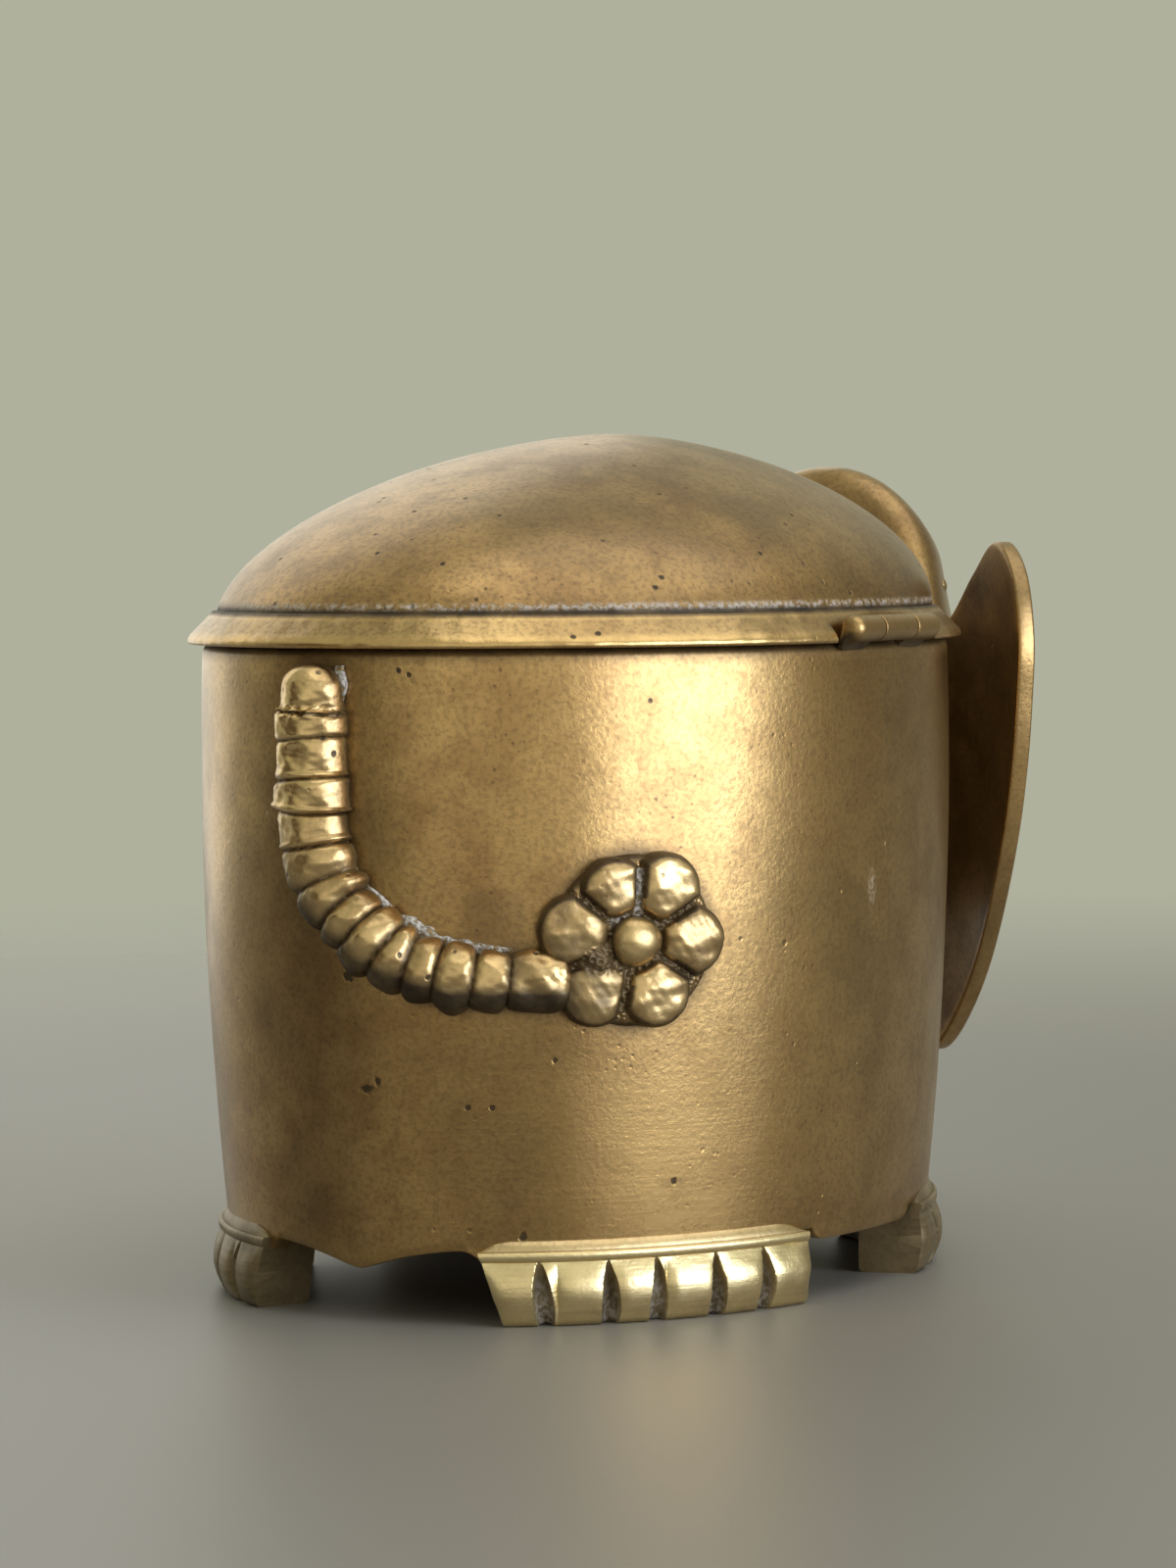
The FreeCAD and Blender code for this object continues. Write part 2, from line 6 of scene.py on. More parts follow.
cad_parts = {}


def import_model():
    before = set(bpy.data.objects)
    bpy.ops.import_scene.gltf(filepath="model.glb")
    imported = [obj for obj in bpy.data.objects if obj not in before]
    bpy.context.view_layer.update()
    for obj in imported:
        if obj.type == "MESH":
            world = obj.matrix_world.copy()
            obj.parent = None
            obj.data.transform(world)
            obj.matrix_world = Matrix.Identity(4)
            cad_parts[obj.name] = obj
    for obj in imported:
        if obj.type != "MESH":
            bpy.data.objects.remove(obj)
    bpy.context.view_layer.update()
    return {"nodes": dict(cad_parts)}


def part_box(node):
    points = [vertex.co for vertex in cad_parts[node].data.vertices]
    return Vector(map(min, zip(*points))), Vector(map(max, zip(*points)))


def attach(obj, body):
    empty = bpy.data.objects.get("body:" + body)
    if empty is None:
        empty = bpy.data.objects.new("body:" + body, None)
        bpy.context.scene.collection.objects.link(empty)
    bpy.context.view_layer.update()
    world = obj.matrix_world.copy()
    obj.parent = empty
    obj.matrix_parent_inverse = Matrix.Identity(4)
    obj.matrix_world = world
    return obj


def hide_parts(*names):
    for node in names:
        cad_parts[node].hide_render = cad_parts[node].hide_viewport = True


# Brass trinket box in the shape of an elephant. Shapes are worked out in millimetres round the
# middle of the barrel, with the tail at +Y and the elephant's right side at -X.

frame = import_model()

MM = 0.001
TURN = 2 * np.pi
CRISP = math.radians(50.0)


def box_of(node):
    """Lowest and highest corner of a solid, in millimetres."""
    low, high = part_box(node)
    return np.array(low) / MM, np.array(high) / MM


# Sizes read from the frame
barrel_low, barrel_high = box_of("body_barrel")
MIDDLE = (barrel_low[1] + barrel_high[1]) / 2
LENGTH_HALF = (barrel_high[1] - barrel_low[1]) / 2
WIDTH_HALF = (barrel_high[0] - barrel_low[0]) / 2
RIM = barrel_high[2]
FOOT_TOP = box_of("foot_rear_right")[1][2]
BAND_TOP = box_of("lid_band")[1][2]
LID_TOP = box_of("lid_dome")[1][2]
pin_low, pin_high = box_of("hinge_pin")
HINGE_X = (pin_low[0] + pin_high[0]) / 2
HINGE_Z = (pin_low[2] + pin_high[2]) / 2
HINGE_FRONT = pin_low[1] - MIDDLE
HINGE_REAR = pin_high[1] - MIDDLE

# Barrel
WIDEST = 46.0
FOOT_INSET = 2.1
WALL = 2.0
SHOULDER = 0.8
LIP = 0.3
APRON_DROP = 1.9
APRON_HALF = 9.9
APRON_ROUND = 0.7
COVE_START = 8.8
COVE_END = 11.4
COVE_DROP = 1.9
TAB_DROP = 1.1
TAB_HALF = 9.3
TAB_ROUND = 1.4
DENT = 0.10
DENT_SIZE = 34
# Painted shadow in the seam under the lid's overhang and painted shade on the hidden inside of the wall
SEAM_SHADOW = 1.15
INSIDE_SHADE = 0.35
# Painted shadow round the tail and the flower
HALO_SHADE = 0.7
TAIL_HALO = 2.2
FLOWER_HALO = 6.8
BLOOM_TURN = math.radians(85.7)
BLOOM_HEIGHT = 35.9
BRUSHED_BELOW = 26.0
BRUSHED_FADE = 10.0
# A brighter patch low on the wall: wear, and partly a painted highlight where the window's reflection runs
# down
WORN_SHEEN_TURN = math.radians(50.0)
WORN_SHEEN_SPREAD = math.radians(24.0)

# Tarnish and painted shade down the wall, the bands at -48 and 108 degrees standing for darker
# reflections at the sides: turn and spread in degrees, strength
TARNISH_AND_SHADE = [(-48, 14, 0.5), (-10, 18, 0.62), (108, 46, 0.50), (178, 24, 0.30), (262, 30, 0.40)]
TARNISH_FADE = 14.0

# Smudges on the wall: turn in degrees, height, half width in degrees, half height, strength
SMUDGES = [(24.0, 34.7, 5.0, 2.7, 0.28), (50.8, 11.9, 2.0, 0.6, 0.3), (26.0, 10.5, 2.6, 0.7, 0.35)]

# Single pits in the wall: turn in degrees, height, size
PITS = [
    (0.6, 29.7, 1.0), (3.2, 20.1, 0.9), (5.2, 20.9, 0.6), (32.9, 22.7, 0.45), (19.8, 18.7, 0.4),
    (23.5, 18.7, 0.4), (9.8, 55.6, 0.35), (11.4, 55.2, 0.35), (27.9, 7.6, 0.7), (50.8, 11.9, 0.5),
]

# Feet
FOOT_PROUD = 0.9
FOOT_DEPTH = 7.0
FOOT_LEAN = 0.25
LEDGE_HEIGHT = 0.9
LEDGE_PROUD = 0.25
FOOT_START = math.radians(25.0)
FOOT_END = math.radians(74.0)
FOOT_SPLAY = math.radians(4.0)
FOOT_RADIUS = 32.0
FOOT_UNEVEN = 0.05
TOES = 6
GROOVE_HALF = 0.82
GROOVE_DEEP = 1.1
GROOVE_LEAN = 0.03
GROOVE_SHIFT = np.array([-0.23, -0.045, -0.155, -0.02, -0.01])
TOE_CROWN = 0.9
STRIP_RISE = 0.9
# Painted shade over the feet away from the light
FAR_FEET_SHADE = 0.8

# Lid
LID_OVERHANG = 1.3
BAND_EDGE = 0.6
BAND_BEVEL = 2.3
BAND_LEDGE = 0.35
BAND_WAVES = 0.07
BAND_NICKS = 0.05
LID_WALL = 1.6
LID_LEAN = 5.0
DOME_SHOULDER = 1.70
DOME_CROWN = 1.75
RING_PLAY = 0.6

# Hinge
KNUCKLE_RADIUS = 1.15
NOTCH_GAP = 0.7
NOTCH_DEEP = 0.4
KNUCKLE_GAP = 0.25
LID_KNUCKLE_HALF = 3.0
HINGE_BACK = 1.0
KNUCKLE_SOFT = 0.12
POST_ROUND = 0.9
PIN_RADIUS = 0.575
PIN_SOFT = 0.1
PIN_SHORT = 0.7

# Head, eyes and ears; the ear's outline is in shares of its reach and its height
HEAD_FORWARD = LENGTH_HALF + 1.4
HEAD_MIDDLE = RIM - 5.4
HEAD_WIDE = 16.0
HEAD_LONG = 17.0
HEAD_RISE = 24.2
HEAD_FALL = 22.4
HEAD_GAP = 1.2
HEAD_BITE = 0.8
HEAD_SOFT = 9.0
HEAD_BLEND = 2.5
HEAD_BEYOND = 40.0
HEAD_HALVINGS = 36
EYE_TURN = math.radians(58.0)
EYE_LIFT = 10.0
EYE_SINK = 0.45
EYE_WIDE = 1.8
EYE_TALL = 1.15
EAR_THICK = 1.7
EAR_SINK = 1.4
EAR_AHEAD = 1.0
EAR_BACK = math.radians(38.0)
EAR_CUP = 60.0
EAR_REACH = 21.5
EAR_RISE = 14.0
EAR_FALL = 34.7
EAR_FLAT = 0.985
EAR_FOLD = 0.16
EAR_FOLDS = 9
EAR_HEART = np.array([0.36, 0.5])
EAR_ROOT = (-0.3, 0.45)
EAR_OUTLINE = np.array([
    (-0.06, 0.80), (0.22, 0.845), (0.46, 0.94), (0.68, 1.0), (0.90, 0.94), (1.0, 0.82), (0.97, 0.70),
    (0.90, 0.57), (0.76, 0.41), (0.48, 0.18), (0.20, 0.03), (0.03, 0.0), (-0.05, 0.08), (-0.07, 0.42),
])

# Forehead's valley, brows, temples and cheeks: strength, then middle and spread round and up the head
HEAD_SWELLINGS = [
    (-0.05, 0.0, 0.20, 0.42, 0.22), (0.035, 0.75, 0.28, 0.55, 0.13),
    (-0.045, 1.25, 0.35, 0.30, 0.25), (0.03, 0.9, 0.4, -0.35, 0.25),
]

# Trunk and tusks
TRUNK_SINK = 5.5
TRUNK_BELOW = 4.0
TRUNK_START = math.radians(-30.0)
TRUNK_HANG = math.radians(-100.0)
TRUNK_TIP = math.radians(-10.0)
TRUNK_UPPER_BEND = 14.0
TRUNK_RUN = 8.0
TRUNK_LOWER_BEND = 9.0
TRUNK_ROOT_RADIUS = 7.2
TRUNK_TIP_RADIUS = 3.2
TRUNK_RINGS = 12
TRUNK_GROOVE = 0.5
NOSTRIL_DEEP = 1.1
TUSK_SIDE = 7.0
TUSK_SINK = 9.0
TUSK_BELOW = 10.0
TUSK_LENGTH = 17.0
TUSK_ROOT_RADIUS = 2.1
TUSK_TIP_RADIUS = 0.8
TUSK_SAG = 0.9
TUSK_DIP = math.radians(22.0)
TUSK_SPREAD = math.radians(12.0)

# Tail: places of its grooves, measured along it from its upper end
TAIL_TOP = RIM - 1.2
TAIL_TURN = math.radians(-4.2)
TAIL_DROP = 12.2
TAIL_FALL = 14.5
TAIL_SWEEP = math.radians(28.2)
TAIL_END = math.radians(34.6)
TAIL_STANDOFF = 0.9
TAIL_SINK = 1.3
TAIL_ROOT_RADIUS = 3.1
TAIL_END_RADIUS = 2.55
TAIL_GROOVES = np.array([4.1, 6.4, 9.8, 12.6, 15.6, 18.7, 21.4, 23.9, 26.6, 29.1, 31.6, 34.6, 37.5])
TAIL_GROOVE_DEEP = 0.62
TAIL_SLANT = 0.3
TAIL_REACH = 0.6
TAIL_TIP = 1.6
BEAD_CHANGE = (12.0, 19.0)
BEAD_POWERS = (7.0, 2.3)
BEAD_VARY = 0.16
RIDGE_RISE = 0.22
RIDGE_HALF = 0.4
THUMB_SHORTFALL = 0.4
THUMB_ROUND = 2.2
COLLAR_ROUGH = 0.4
TAIL_LUMPS = 0.18
TAIL_NICKS = 0.06
BRAZE_TOP = 1.2
BRAZE_TOP_HALF = 2.6
BRAZE_BEND = 29.0
BRAZE_BEND_HALF = 10.5

# Flower: one line for each petal with the two directions that bound it, its reaches and its height
FLOWER_TURN = math.radians(44.0)
FLOWER_HEIGHT = TAIL_TOP - TAIL_DROP - TAIL_FALL + 3.2
FLOWER_PACE = math.hypot(WIDTH_HALF * math.cos(FLOWER_TURN), LENGTH_HALF * math.sin(FLOWER_TURN))
PETALS = np.array([
    (-33.0, 31.0, 2.2, 8.1, 1.0),
    (31.0, 87.0, 2.3, 8.3, 1.05),
    (87.0, 141.0, 2.3, 7.6, 0.95),
    (141.0, 200.0, 2.3, 8.8, 0.90),
    (200.0, 258.0, 2.5, 8.7, 0.88),
    (258.0, 327.0, 2.2, 7.9, 1.0),
])
PETAL_RELIEF = 2.5
PETAL_GAP = 0.12
PETAL_END = 3.3
DISC_RELIEF = 1.45
DISC_RADIUS = 7.3
DISC_DISH = 0.2
FLUX_GAP = math.radians(87.0)
FLUX_RING = math.radians(125.0)
# Painted shade on the petals at the lower left, away from the light
SHADED_PETALS = math.radians(205.0)
CRUST_PLACE = (-3.4, -1.6)
CRUST_SIZE = 2.2
CRUST_RELIEF = 0.75
CRUST_ROUGH = 0.13
CRUST_FINE = 0.08
PETAL_DENTS = 0.11
PETAL_NICKS = 0.025
BOSS_RADIUS = 2.2
BOSS_RELIEF = 2.9
BOSS_POWER = 2.4


# Finishes: sizes of their patterns in millimetres, and colours
CLOUD_SIZE = 30
OLIVE_SIZE = 17
MOTTLE_SIZE = 5
GRAIN_SIZE = 0.45
BRUSH_SIZE = 0.5
BRUSH_STRETCH = (0.05, 0.05, 1.0)
PIT_SPACING = 2.2
PIT_PATCH = 6
DOT_SPACING = 0.9
RAGGED_SIZE = 0.8
CRUMB_SIZE = 0.5
RELIEF = 0.06
DULL_SHARE = 0.45
BRIGHT_SHARE = 1.3
OLIVE_SHARES = (0.80, 0.92, 1.0, 1.0)
# Near-black for dirt and for painted shade
GRIME_AND_SHADE_COLOUR = (0.030, 0.018, 0.008, 1)
FLUX_DARK = (0.22, 0.20, 0.15, 1)
FLUX_PALE = (0.66, 0.62, 0.60, 1)
COAT_ROUGHNESS = 0.28
COAT_IOR = 1.7


def swell(z):
    """Inset of the barrel's wall at height z: a parabola that is zero at the widest height."""
    return FOOT_INSET * ((z - WIDEST) / (WIDEST - FOOT_TOP)) ** 2


def oval(inset, turn, z):
    """Points of the widest oval drawn in by inset; turn runs from the tail to the right flank."""
    inset, turn, z = np.broadcast_arrays(inset, turn, z)
    return np.stack([(inset - WIDTH_HALF) * np.sin(turn), (LENGTH_HALF - inset) * np.cos(turn), z], -1)


def wobble(points, size, seed):
    """Smooth unevenness, about -1 to 1: a sum of sines of nearly one wavelength in fixed directions."""
    rng = np.random.default_rng(seed)
    ways = rng.normal(size=(9, 3))
    ways *= TURN / size * rng.uniform(0.6, 1.5, (9, 1)) / np.linalg.norm(ways, axis=1, keepdims=True)
    return np.sin(points @ ways.T + rng.uniform(0, TURN, 9)).sum(-1) / 4.5


def steps(*stretches):
    """Row of numbers through the stretches, each given as (start, end, count), without repeats."""
    parts = [np.linspace(start, end, count, endpoint=False) for start, end, count in stretches]
    return np.concatenate(parts + [[stretches[-1][1]]])


def full_turn(count):
    """Even angles once round, without the last."""
    return np.linspace(0, TURN, count, endpoint=False)


def turn_from(turn, middle):
    """Angle from middle to turn, at most half a turn either way."""
    return np.mod(turn - middle + np.pi, TURN) - np.pi


def unit(ways):
    """The same directions, each with length 1."""
    return ways / np.linalg.norm(ways, axis=-1, keepdims=True)


def bump(distance, width):
    """Smooth hump of height 1 at distance 0 that ends at width."""
    return np.clip(1 - (distance / width) ** 2, 0, 1) ** 2


def skin(name, rows, ring=False, **layers):
    """Closed mesh over loops of points: each loop is joined to the next. With ring the last loop joins
    the first; without it a point in the middle of the first and of the last loop's box closes that end.
    Layers are numbers for each point, kept as attributes of the mesh."""
    count, width = rows.shape[:2]
    here = np.arange(count * width).reshape(count, width)
    beside = np.roll(here, -1, axis=1)
    if ring:
        quads = np.stack([here, beside, np.roll(beside, -1, 0), np.roll(here, -1, 0)], -1).reshape(-1, 4)
        points = rows.reshape(-1, 3)
        fans = np.zeros((0, 3), int)
    else:
        quads = np.stack([here[:-1], beside[:-1], beside[1:], here[1:]], -1).reshape(-1, 4)
        points = np.concatenate([rows.reshape(-1, 3), (rows[[0, -1]].min(1) + rows[[0, -1]].max(1)) / 2])
        first = np.stack([np.full(width, count * width), beside[0], here[0]], -1)
        last = np.stack([np.full(width, count * width + 1), here[-1], beside[-1]], -1)
        fans = np.concatenate([first, last])
    corners = points[np.concatenate([quads[:, [0, 1, 2]], quads[:, [0, 2, 3]], fans])]
    volume = np.einsum("ij,ij->i", corners[:, 0], np.cross(corners[:, 1], corners[:, 2])).sum()
    if volume < 0:
        quads, fans = quads[:, ::-1], fans[:, ::-1]
    mesh = bpy.data.meshes.new(name)
    mesh.from_pydata((points + [0, MIDDLE, 0]) * MM, [], quads.tolist() + fans.tolist())
    mesh.shade_smooth()
    mesh.set_sharp_from_angle(angle=CRISP)
    for label, values in layers.items():
        values = np.broadcast_to(values, (count, width))
        ends = [] if ring else [values[0].mean(), values[-1].mean()]
        layer = mesh.attributes.new(label, "FLOAT", "POINT")
        layer.data.foreach_set("value", np.concatenate([values.ravel(), ends]).astype(np.float32))
    made = bpy.data.objects.new(name, mesh)
    bpy.context.scene.collection.objects.link(made)
    return made


def fit(made, body, nodes, finish):
    """Puts a piece in the place of its solids: body to ride on, solids to hide and finish."""
    made.data.materials.append(finish)
    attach(made, body)
    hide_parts(*nodes)
    return made


class Wire:
    """One output in a node tree. Sums, differences and products of wires add Math nodes."""

    def __init__(self, tree, socket=None):
        self.tree = tree
        self.socket = socket

    def node(self, kind, settings=None, inputs=None, output=0):
        """Adds a node of this type, gives it its settings, then fills its sockets with values or wires."""
        made = self.tree.nodes.new(kind)
        for name, value in (settings or {}).items():
            setattr(made, name, value)
        for name, value in (inputs or {}).items():
            if isinstance(value, Wire):
                self.tree.links.new(value.socket, made.inputs[name])
            else:
                made.inputs[name].default_value = value
        return Wire(self.tree, made.outputs[output] if made.outputs else None)

    def math(self, operation, *values):
        """Math node of this operation on values or wires."""
        return self.node("ShaderNodeMath", {"operation": operation}, dict(enumerate(values)))

    def __add__(self, other):
        return self.math("ADD", self, other)

    def __sub__(self, other):
        return self.math("SUBTRACT", self, other)

    def __rsub__(self, other):
        return self.math("SUBTRACT", other, self)

    def __mul__(self, other):
        return self.math("MULTIPLY", self, other)

    __radd__ = __add__
    __rmul__ = __mul__

    def ramp(self, start, end):
        """0 below start, 1 above end and a smooth rise between."""
        return self.node(
            "ShaderNodeMapRange",
            {"interpolation_type": "SMOOTHSTEP", "clamp": True},
            {"Value": self, "From Min": start, "From Max": end},
        )

    def mix(self, under, over):
        """Colour that goes from under to over as this value goes from 0 to 1."""
        return self.node(
            "ShaderNodeMix", {"data_type": "RGBA"}, {"Factor": self, 6: under, 7: over}, output=2
        )

    def noise(self, place, size, detail=3.0, rough=0.55):
        """Noise whose coarsest grain measures size millimetres at this place."""
        return self.node(
            "ShaderNodeTexNoise", None,
            {"Vector": place, "Scale": 1 / (size * MM), "Detail": detail, "Roughness": rough},
        )


def new_tree(owner):
    """Emptied node tree of a material or a world."""
    owner.use_nodes = True
    owner.node_tree.nodes.clear()
    return Wire(owner.node_tree)


def brass(name, clean, brown, patina, rough, grain, pitting, spots=()):
    """Aged brass: clean metal under wide clouds of brown and olive patina and a fine grain, with casting
    pits, near-black where dirt sits and where shade is painted (attribute grime), pale where flux has
    dried (ash), brighter where hands have rubbed it and where a highlight is painted (rub) and
    brushed level where it was filed (filed). Spots are single pits in the wall, each with its turn, height
    and size."""
    made = bpy.data.materials.new(name)
    tree = new_tree(made)
    place = tree.node("ShaderNodeTexCoord", output=3)
    layers = ("rub", "grime", "ash", "filed")
    rub, grime, ash, filed = [
        tree.node("ShaderNodeAttribute", {"attribute_name": layer}, output=2) for layer in layers
    ]
    cloud = tree.noise(place, CLOUD_SIZE, 3).ramp(0.32, 0.66)
    elsewhere = tree.node("ShaderNodeMapping", None, {"Vector": place, "Location": (1, 2, 3)})
    olive = tree.noise(elsewhere, OLIVE_SIZE, 4).ramp(0.50, 0.68)
    mottle = tree.noise(place, MOTTLE_SIZE, 5, 0.62)
    fine = tree.noise(place, GRAIN_SIZE, 3, 0.65)
    brushed = tree.node("ShaderNodeMapping", None, {"Vector": place, "Scale": BRUSH_STRETCH})
    hair = tree.noise(brushed, BRUSH_SIZE, 3, 0.6) * filed
    cell = tree.node("ShaderNodeTexVoronoi", None, {"Vector": place, "Scale": 1 / (PIT_SPACING * MM)})
    pitted = tree.noise(place, PIT_PATCH, 2).ramp(0.62 - pitting, 0.70 - pitting)
    pit = (1 - cell.ramp(0.06, 0.15)) * pitted
    dots = tree.node("ShaderNodeTexVoronoi", None, {"Vector": place, "Scale": 1 / (DOT_SPACING * MM)})
    dots = (1 - dots.ramp(0.10, 0.26)) * mottle.ramp(0.48, 0.66)
    ragged = tree.noise(place, RAGGED_SIZE, 3) * 1.3
    for turn, z, size in spots:
        centre = ((oval(swell(z), math.radians(turn), z) + [0, MIDDLE, 0]) * MM).tolist()
        ends = {0: place, 1: centre}
        away = tree.node("ShaderNodeVectorMath", {"operation": "DISTANCE"}, ends, output=1)
        near = 1 - (away * (1 / (size * MM)) + ragged).ramp(1.05, 1.4)
        pit = tree.math("MAXIMUM", pit, near)
    blotch = mottle.ramp(0.38, 0.64)
    darker_tone = (cloud * 0.5 + blotch * 0.5) * patina
    dull = [DULL_SHARE * part for part in brown[:3]] + [1]
    bright = [min(1.0, BRIGHT_SHARE * part) for part in clean[:3]] + [1]
    greenish = [share * part for share, part in zip(OLIVE_SHARES, brown)]
    colour = darker_tone.mix(clean, brown)
    colour = (olive * 0.5 * patina).mix(colour, greenish)
    colour = (fine.ramp(0.42, 0.68) * grain + hair.ramp(0.4, 0.7) * 0.5).mix(colour, dull)
    colour = (dots * 1.6 * grain).mix(colour, dull)
    # Brighter where hands have rubbed it and where a highlight is painted
    worn_and_sheen = rub * (1 - blotch * 0.4)
    colour = (worn_and_sheen * 0.8).mix(colour, bright)
    # Near-black where dirt sits, where shade is painted and in the pits
    darkening = tree.math("MAXIMUM", grime * (0.6 + mottle * 0.6), pit * 0.9)
    colour = darkening.mix(colour, GRIME_AND_SHADE_COLOUR)
    crumb = tree.noise(place, CRUMB_SIZE, 4, 0.7)
    dust = ash * crumb.ramp(0.36, 0.58)
    colour = dust.mix(colour, crumb.ramp(0.40, 0.60).mix(FLUX_DARK, FLUX_PALE))
    height = hair * 1.2 + fine * 0.9 + mottle * 0.9 + dots * -0.6 + pit * -4.0 + dust * 1.5
    normal = tree.node("ShaderNodeBump", None, {"Height": height, "Strength": 0.5, "Distance": RELIEF * MM})
    shader = tree.node("ShaderNodeBsdfPrincipled", None, {
        "Base Color": colour,
        "Metallic": 1 - darkening * 0.6 - dust * 0.85,
        "Roughness": rough + darker_tone * 0.08 + fine * 0.08 + darkening * 0.25 + dust * 0.35 - worn_and_sheen * 0.04,
        "Coat Weight": 0.5 - darkening * 0.45 - dust * 0.45,
        "Coat Roughness": COAT_ROUGHNESS,
        "Coat IOR": COAT_IOR,
        "Normal": normal,
    })
    tree.node("ShaderNodeOutputMaterial", None, {"Surface": shader})
    return made


def lower_edge(turn):
    """Height of the barrel's lower edge: level over the feet, two arcs to a rounded point at each end of
    the body, a cove that falls to the side of each foot, and a rounded tab on each flank."""
    edge = np.abs(oval(FOOT_INSET, turn, 0.0))
    across, along = edge[..., 0], edge[..., 1]
    radius = (APRON_HALF ** 2 + APRON_DROP ** 2) / (2 * APRON_DROP)
    run = np.clip(APRON_HALF - np.sqrt(across ** 2 + APRON_ROUND ** 2) + APRON_ROUND / 2, 0, None)
    apron = radius - np.sqrt(radius ** 2 - run ** 2)
    cove = COVE_DROP * np.clip((across - COVE_START) / (COVE_END - COVE_START), 0, 1) ** 2
    cove = np.where(across < COVE_END, cove, 0)
    tab = TAB_DROP * np.clip((TAB_HALF - along) / TAB_ROUND, 0, 1) ** 0.5
    return FOOT_TOP - np.maximum(np.maximum(apron, cove), tab)


def barrel_rows():
    """Loops round the section of the wall, carried round the oval: up the outside, over a rounded
    shoulder, across the rim, down the inside and back under the lower edge."""
    turn = full_turn(720)[:, None]
    low = lower_edge(turn)
    arc = np.linspace(0, np.pi / 2, 8)[None, 1:]
    rise = steps((0.0, 0.03, 2), (0.03, 1.0, 64))[None]
    foot = low + LIP * 0.4
    outside = foot + (RIM - SHOULDER - foot) * rise
    corner = RIM - SHOULDER * (1 - np.sin(arc)) + 0 * turn
    z = np.concatenate([low, outside, corner, RIM + 0 * turn, RIM - LIP + 0 * turn], 1)
    inset = np.concatenate([
        swell(low) + LIP * 0.5,
        swell(outside),
        swell(RIM) + SHOULDER * (1 - np.cos(arc)) + 0 * turn,
        swell(RIM) + WALL - LIP + 0 * turn,
        swell(RIM) + WALL + 0 * turn,
    ], 1)
    down = steps((0.0, 1.0, 16))[None, 1:]
    inside = RIM - LIP + (low - RIM + LIP) * down
    z = np.concatenate([z, inside], 1)
    inset = np.concatenate([inset, swell(inside) + WALL], 1)
    rows = oval(inset, turn, z)
    outer = (inset < swell(z) + SHOULDER) * np.clip((RIM - 2 - z) / 6, 0, 1)
    outer = outer * np.clip((z - FOOT_TOP) / 4, 0, 1)
    return oval(inset + DENT * outer * wobble(rows, DENT_SIZE, 3), turn, z), z, inset


def barrel(finish):
    """The wall with its marks: painted shadow in the seam under the lid, tarnish and painted shade down the
    stripes and a painted shadow round the tail and the flower, each fading as a squared parabola; painted
    shade on the hidden inside; its lower part is brushed and shows wear, with a brighter patch that is
    partly a painted highlight."""
    rows, z, inset = barrel_rows()
    turn = full_turn(z.shape[0])[:, None]
    hidden = np.clip((inset - swell(z) - 0.9) / 0.6, 0, 1)
    shown = 1 - hidden
    under = bump(np.clip(z - lower_edge(turn), 0, None), 1.2)
    # Painted shadow in the seam under the lid's overhang, and painted shade on the hidden inside
    seam = np.clip((z - RIM + SEAM_SHADOW) / 0.8, 0, 1)
    # Tarnish down the wall; the bands at the sides are painted shade standing for darker reflections
    darker_tone = 0 * turn
    for middle, spread, strength in TARNISH_AND_SHADE:
        away = turn_from(turn, math.radians(middle))
        darker_tone = np.maximum(darker_tone, strength * bump(away, math.radians(spread)))
    darker_tone = darker_tone * np.clip((RIM - z) / TARNISH_FADE, 0, 1) * (0.8 + 0.3 * wobble(rows, 12, 6))
    grime = np.maximum(0.9 * seam + INSIDE_SHADE * hidden, darker_tone)
    # Painted shadow on the wall round the tail and the flower
    near = rows[..., None, :] - tail_route()[0][::3]
    beside_tail = np.sqrt(np.sum(near ** 2, axis=-1)).min(-1)
    beside_flower = np.hypot(turn_from(turn, FLOWER_TURN) * FLOWER_PACE, z - FLOWER_HEIGHT)
    for away, start, fade in ((beside_tail, TAIL_HALO, 1.6), (beside_flower, FLOWER_HALO, 2.0)):
        grime = np.maximum(grime, HALO_SHADE * bump(np.clip(away - start, 0, None), fade) * shown)
    for middle, height, wide, tall, strength in SMUDGES:
        away = turn_from(turn, math.radians(middle))
        square = np.abs(away / math.radians(wide)) ** 6 + np.abs((z - height) / tall) ** 6
        grime = np.maximum(grime, strength * np.clip(1.15 - square, 0, 1) * shown)
    bloom = bump(np.hypot((turn - BLOOM_TURN) * 40.0, (z - BLOOM_HEIGHT) / 2.2), 1.0) * shown
    # Brushed below, with a brighter patch that is partly a painted highlight; the lower edge is brighter
    # from wear
    filed = np.clip((BRUSHED_BELOW - z) / BRUSHED_FADE, 0, 1) * shown
    worn_and_sheen = filed * bump(turn - WORN_SHEEN_TURN, WORN_SHEEN_SPREAD)
    rub = np.maximum(0.5 * under * shown, worn_and_sheen)
    made = skin("barrel_wall", rows, ring=True, grime=grime, rub=rub, ash=0.5 * bloom, filed=0.5 * filed)
    return fit(made, "body", ["body_barrel"], finish)


